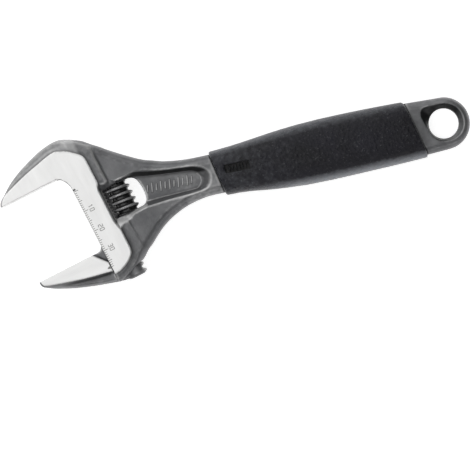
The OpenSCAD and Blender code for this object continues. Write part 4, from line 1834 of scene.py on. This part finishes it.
@dataclass
class Studio:
    """Floor, lights and camera."""

    tilt: float = math.radians(12.04)
    centre: tuple[float, float] = (-0.1040, -0.0300)
    width: float = 0.2151
    lens: float = 200.0
    sensor: float = 36.0
    floor_half: float = 6.0
    floor_gap: float = 0.0002

    def floor(self, finish: bpy.types.Material, low: float) -> None:
        """Lays a wide flat pale floor just under the object.

        Args:
            finish: its material.
            low: how low the object reaches, in metres.
        """
        size = self.floor_half
        obj = make_piece("pale_floor",
            np.array([(-size, -size, 0), (size, -size, 0), (size, size, 0), (-size, size, 0)]) / MM,
                         [[0, 1, 2, 3]], smooth=False)
        obj.location.z = low - self.floor_gap
        obj.data.materials.append(finish)
        obj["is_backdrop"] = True

    def light(self, name: str, place: tuple[float, float, float], size: tuple[float, float],
            power: float) -> None:
        """Adds a soft area light that points at the object.

        Args:
            name: its name.
            place: where it is, in metres.
            size: its two sides.
            power: its power in watts.
        """
        data = bpy.data.lights.new(name, "AREA")
        data.shape = "RECTANGLE"
        data.size, data.size_y = size
        data.energy = power
        obj = bpy.data.objects.new(name, data)
        bpy.context.scene.collection.objects.link(obj)
        from_object = Vector(place) - Vector((-0.1, 0.0, 0.0))
        obj.location = place
        obj.rotation_mode = "QUATERNION"
        obj.rotation_quaternion = from_object.to_track_quat("Z", "Y")

    def lights(self) -> None:
        """Sets up the soft studio light and the surroundings."""
        self.light("overhead_softbox", (-0.75, 0.15, 1.6), (1.7, 2.4), 16.6)
        self.light("key_softbox", (-0.35, 1.3, 0.9), (2.0, 0.6), 10.0)
        self.light("near_softbox", (0.1, -1.35, 0.7), (2.2, 0.35), 7.0)
        world = bpy.data.worlds.new("studio_surroundings")
        world.use_nodes = True
        bpy.context.scene.world = world
        w = Wiring(world.node_tree)
        back = world.node_tree.nodes["Background"]
        back.inputs["Color"].default_value = (1.0, 1.0, 1.0, 1.0)
        coords = w.add("ShaderNodeTexCoord")
        split = w.add("ShaderNodeSeparateXYZ")
        w.join(coords, "Generated", split, "Vector")
        level = w.add("ShaderNodeMapRange")
        level.inputs["From Min"].default_value = -0.75
        level.inputs["From Max"].default_value = 0.75
        level.inputs["To Min"].default_value = 0.006
        level.inputs["To Max"].default_value = 0.0425
        w.join(split, "Y", level, "Value")
        seen = w.add("ShaderNodeLightPath")
        rim = w.add("ShaderNodeMapRange", interpolation_type="SMOOTHSTEP")
        rim.inputs["From Min"].default_value = 0.55
        rim.inputs["From Max"].default_value = 0.05
        rim.inputs["To Min"].default_value = 0.0
        rim.inputs["To Max"].default_value = 0.05
        w.join(split, "Z", rim, "Value")
        both = w.add("ShaderNodeMath", operation="ADD")
        w.join(level, "Result", both, 0)
        w.join(rim, "Result", both, 1)
        mix = w.add("ShaderNodeMix", data_type="FLOAT")
        mix.inputs["B"].default_value = 0.93
        w.join(seen, "Is Camera Ray", mix, "Factor")
        w.join(both, 0, mix, "A")
        w.join(mix, "Result", back, "Strength")

    def camera(self) -> None:
        """Places the camera straight over the object, rolled a little."""
        data = bpy.data.cameras.new("main_camera")
        data.lens = self.lens
        data.sensor_width = self.sensor
        data.sensor_fit = "HORIZONTAL"
        data.clip_start, data.clip_end = 0.05, 20.0
        cam = bpy.data.objects.new("main_camera", data)
        bpy.context.scene.collection.objects.link(cam)
        cam.location = (*self.centre, self.width * self.lens / self.sensor)
        cam.rotation_euler = (0.0, 0.0, -self.tilt)
        bpy.context.scene.camera = cam


# --------------------------------------------------------------------------- main


def main(frame: dict) -> None:
    """Builds every piece round the frame.
    """
    slide = next(j for j in frame["joints"] if j["type"] == "slide")
    adj = Adjuster(travel=slide["range_m"][1] / MM)
    head = HeadFrame.from_joints(frame["joints"], adj.worm_u)
    effects = Effects()
    forged = ForgedFinish(effects)
    steel = PlainSteelFinish(effects)
    angle = math.atan2(head.sin, head.cos)
    body_finish = forged.build("forged_steel_grey", FORGED, True, -angle - math.pi / 2)
    jaw_finish = forged.build("jaw_steel_grey", FORGED, True, -angle)
    black = forged.build("black_oxide_steel", BLACKED, False)
    rubber = MouldedFinish(effects).build("moulded_elastomer", MOULDED)
    pin = steel.build("pin_steel_dark", (0.1, 0.1, 0.1), (0.2, 0.2, 0.2), 0.35)
    spring = steel.build("spring_steel_bright", (0.4, 0.4, 0.4), (0.6, 0.6, 0.6), 0.25)
    ink = steel.build("grey_ink", (0.13, 0.13, 0.125), (0.22, 0.22, 0.21), 0.6, 0.0)

    studio = Studio()
    studio.camera()
    studio.lights()
    bpy.context.scene.view_settings.view_transform = "Standard"

    made = [ForgedBody(head, adj).build(body_finish), MovingJaw(head, adj).build(jaw_finish)]
    worm = Worm(head, adj)
    made += [worm.build_worm(black), worm.build_spring(spring)]
    worm.dress_pin(frame["nodes"]["worm_pin"], pin)
    made.append(MouldedGrip().build(rubber))
    marks = Markings(head, adj)
    made += [marks.scale(ink), marks.index(ink), marks.ribs(body_finish)]
    for obj in made:
        LOG.info("%s: %d faces", obj.name, len(obj.data.polygons))
    studio.floor(FloorFinish(effects).build(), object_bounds()[0][2])


if __name__ == "__main__":
    logging.basicConfig(level=logging.INFO, format="%(name)s %(message)s")
    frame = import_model()
    main(frame)
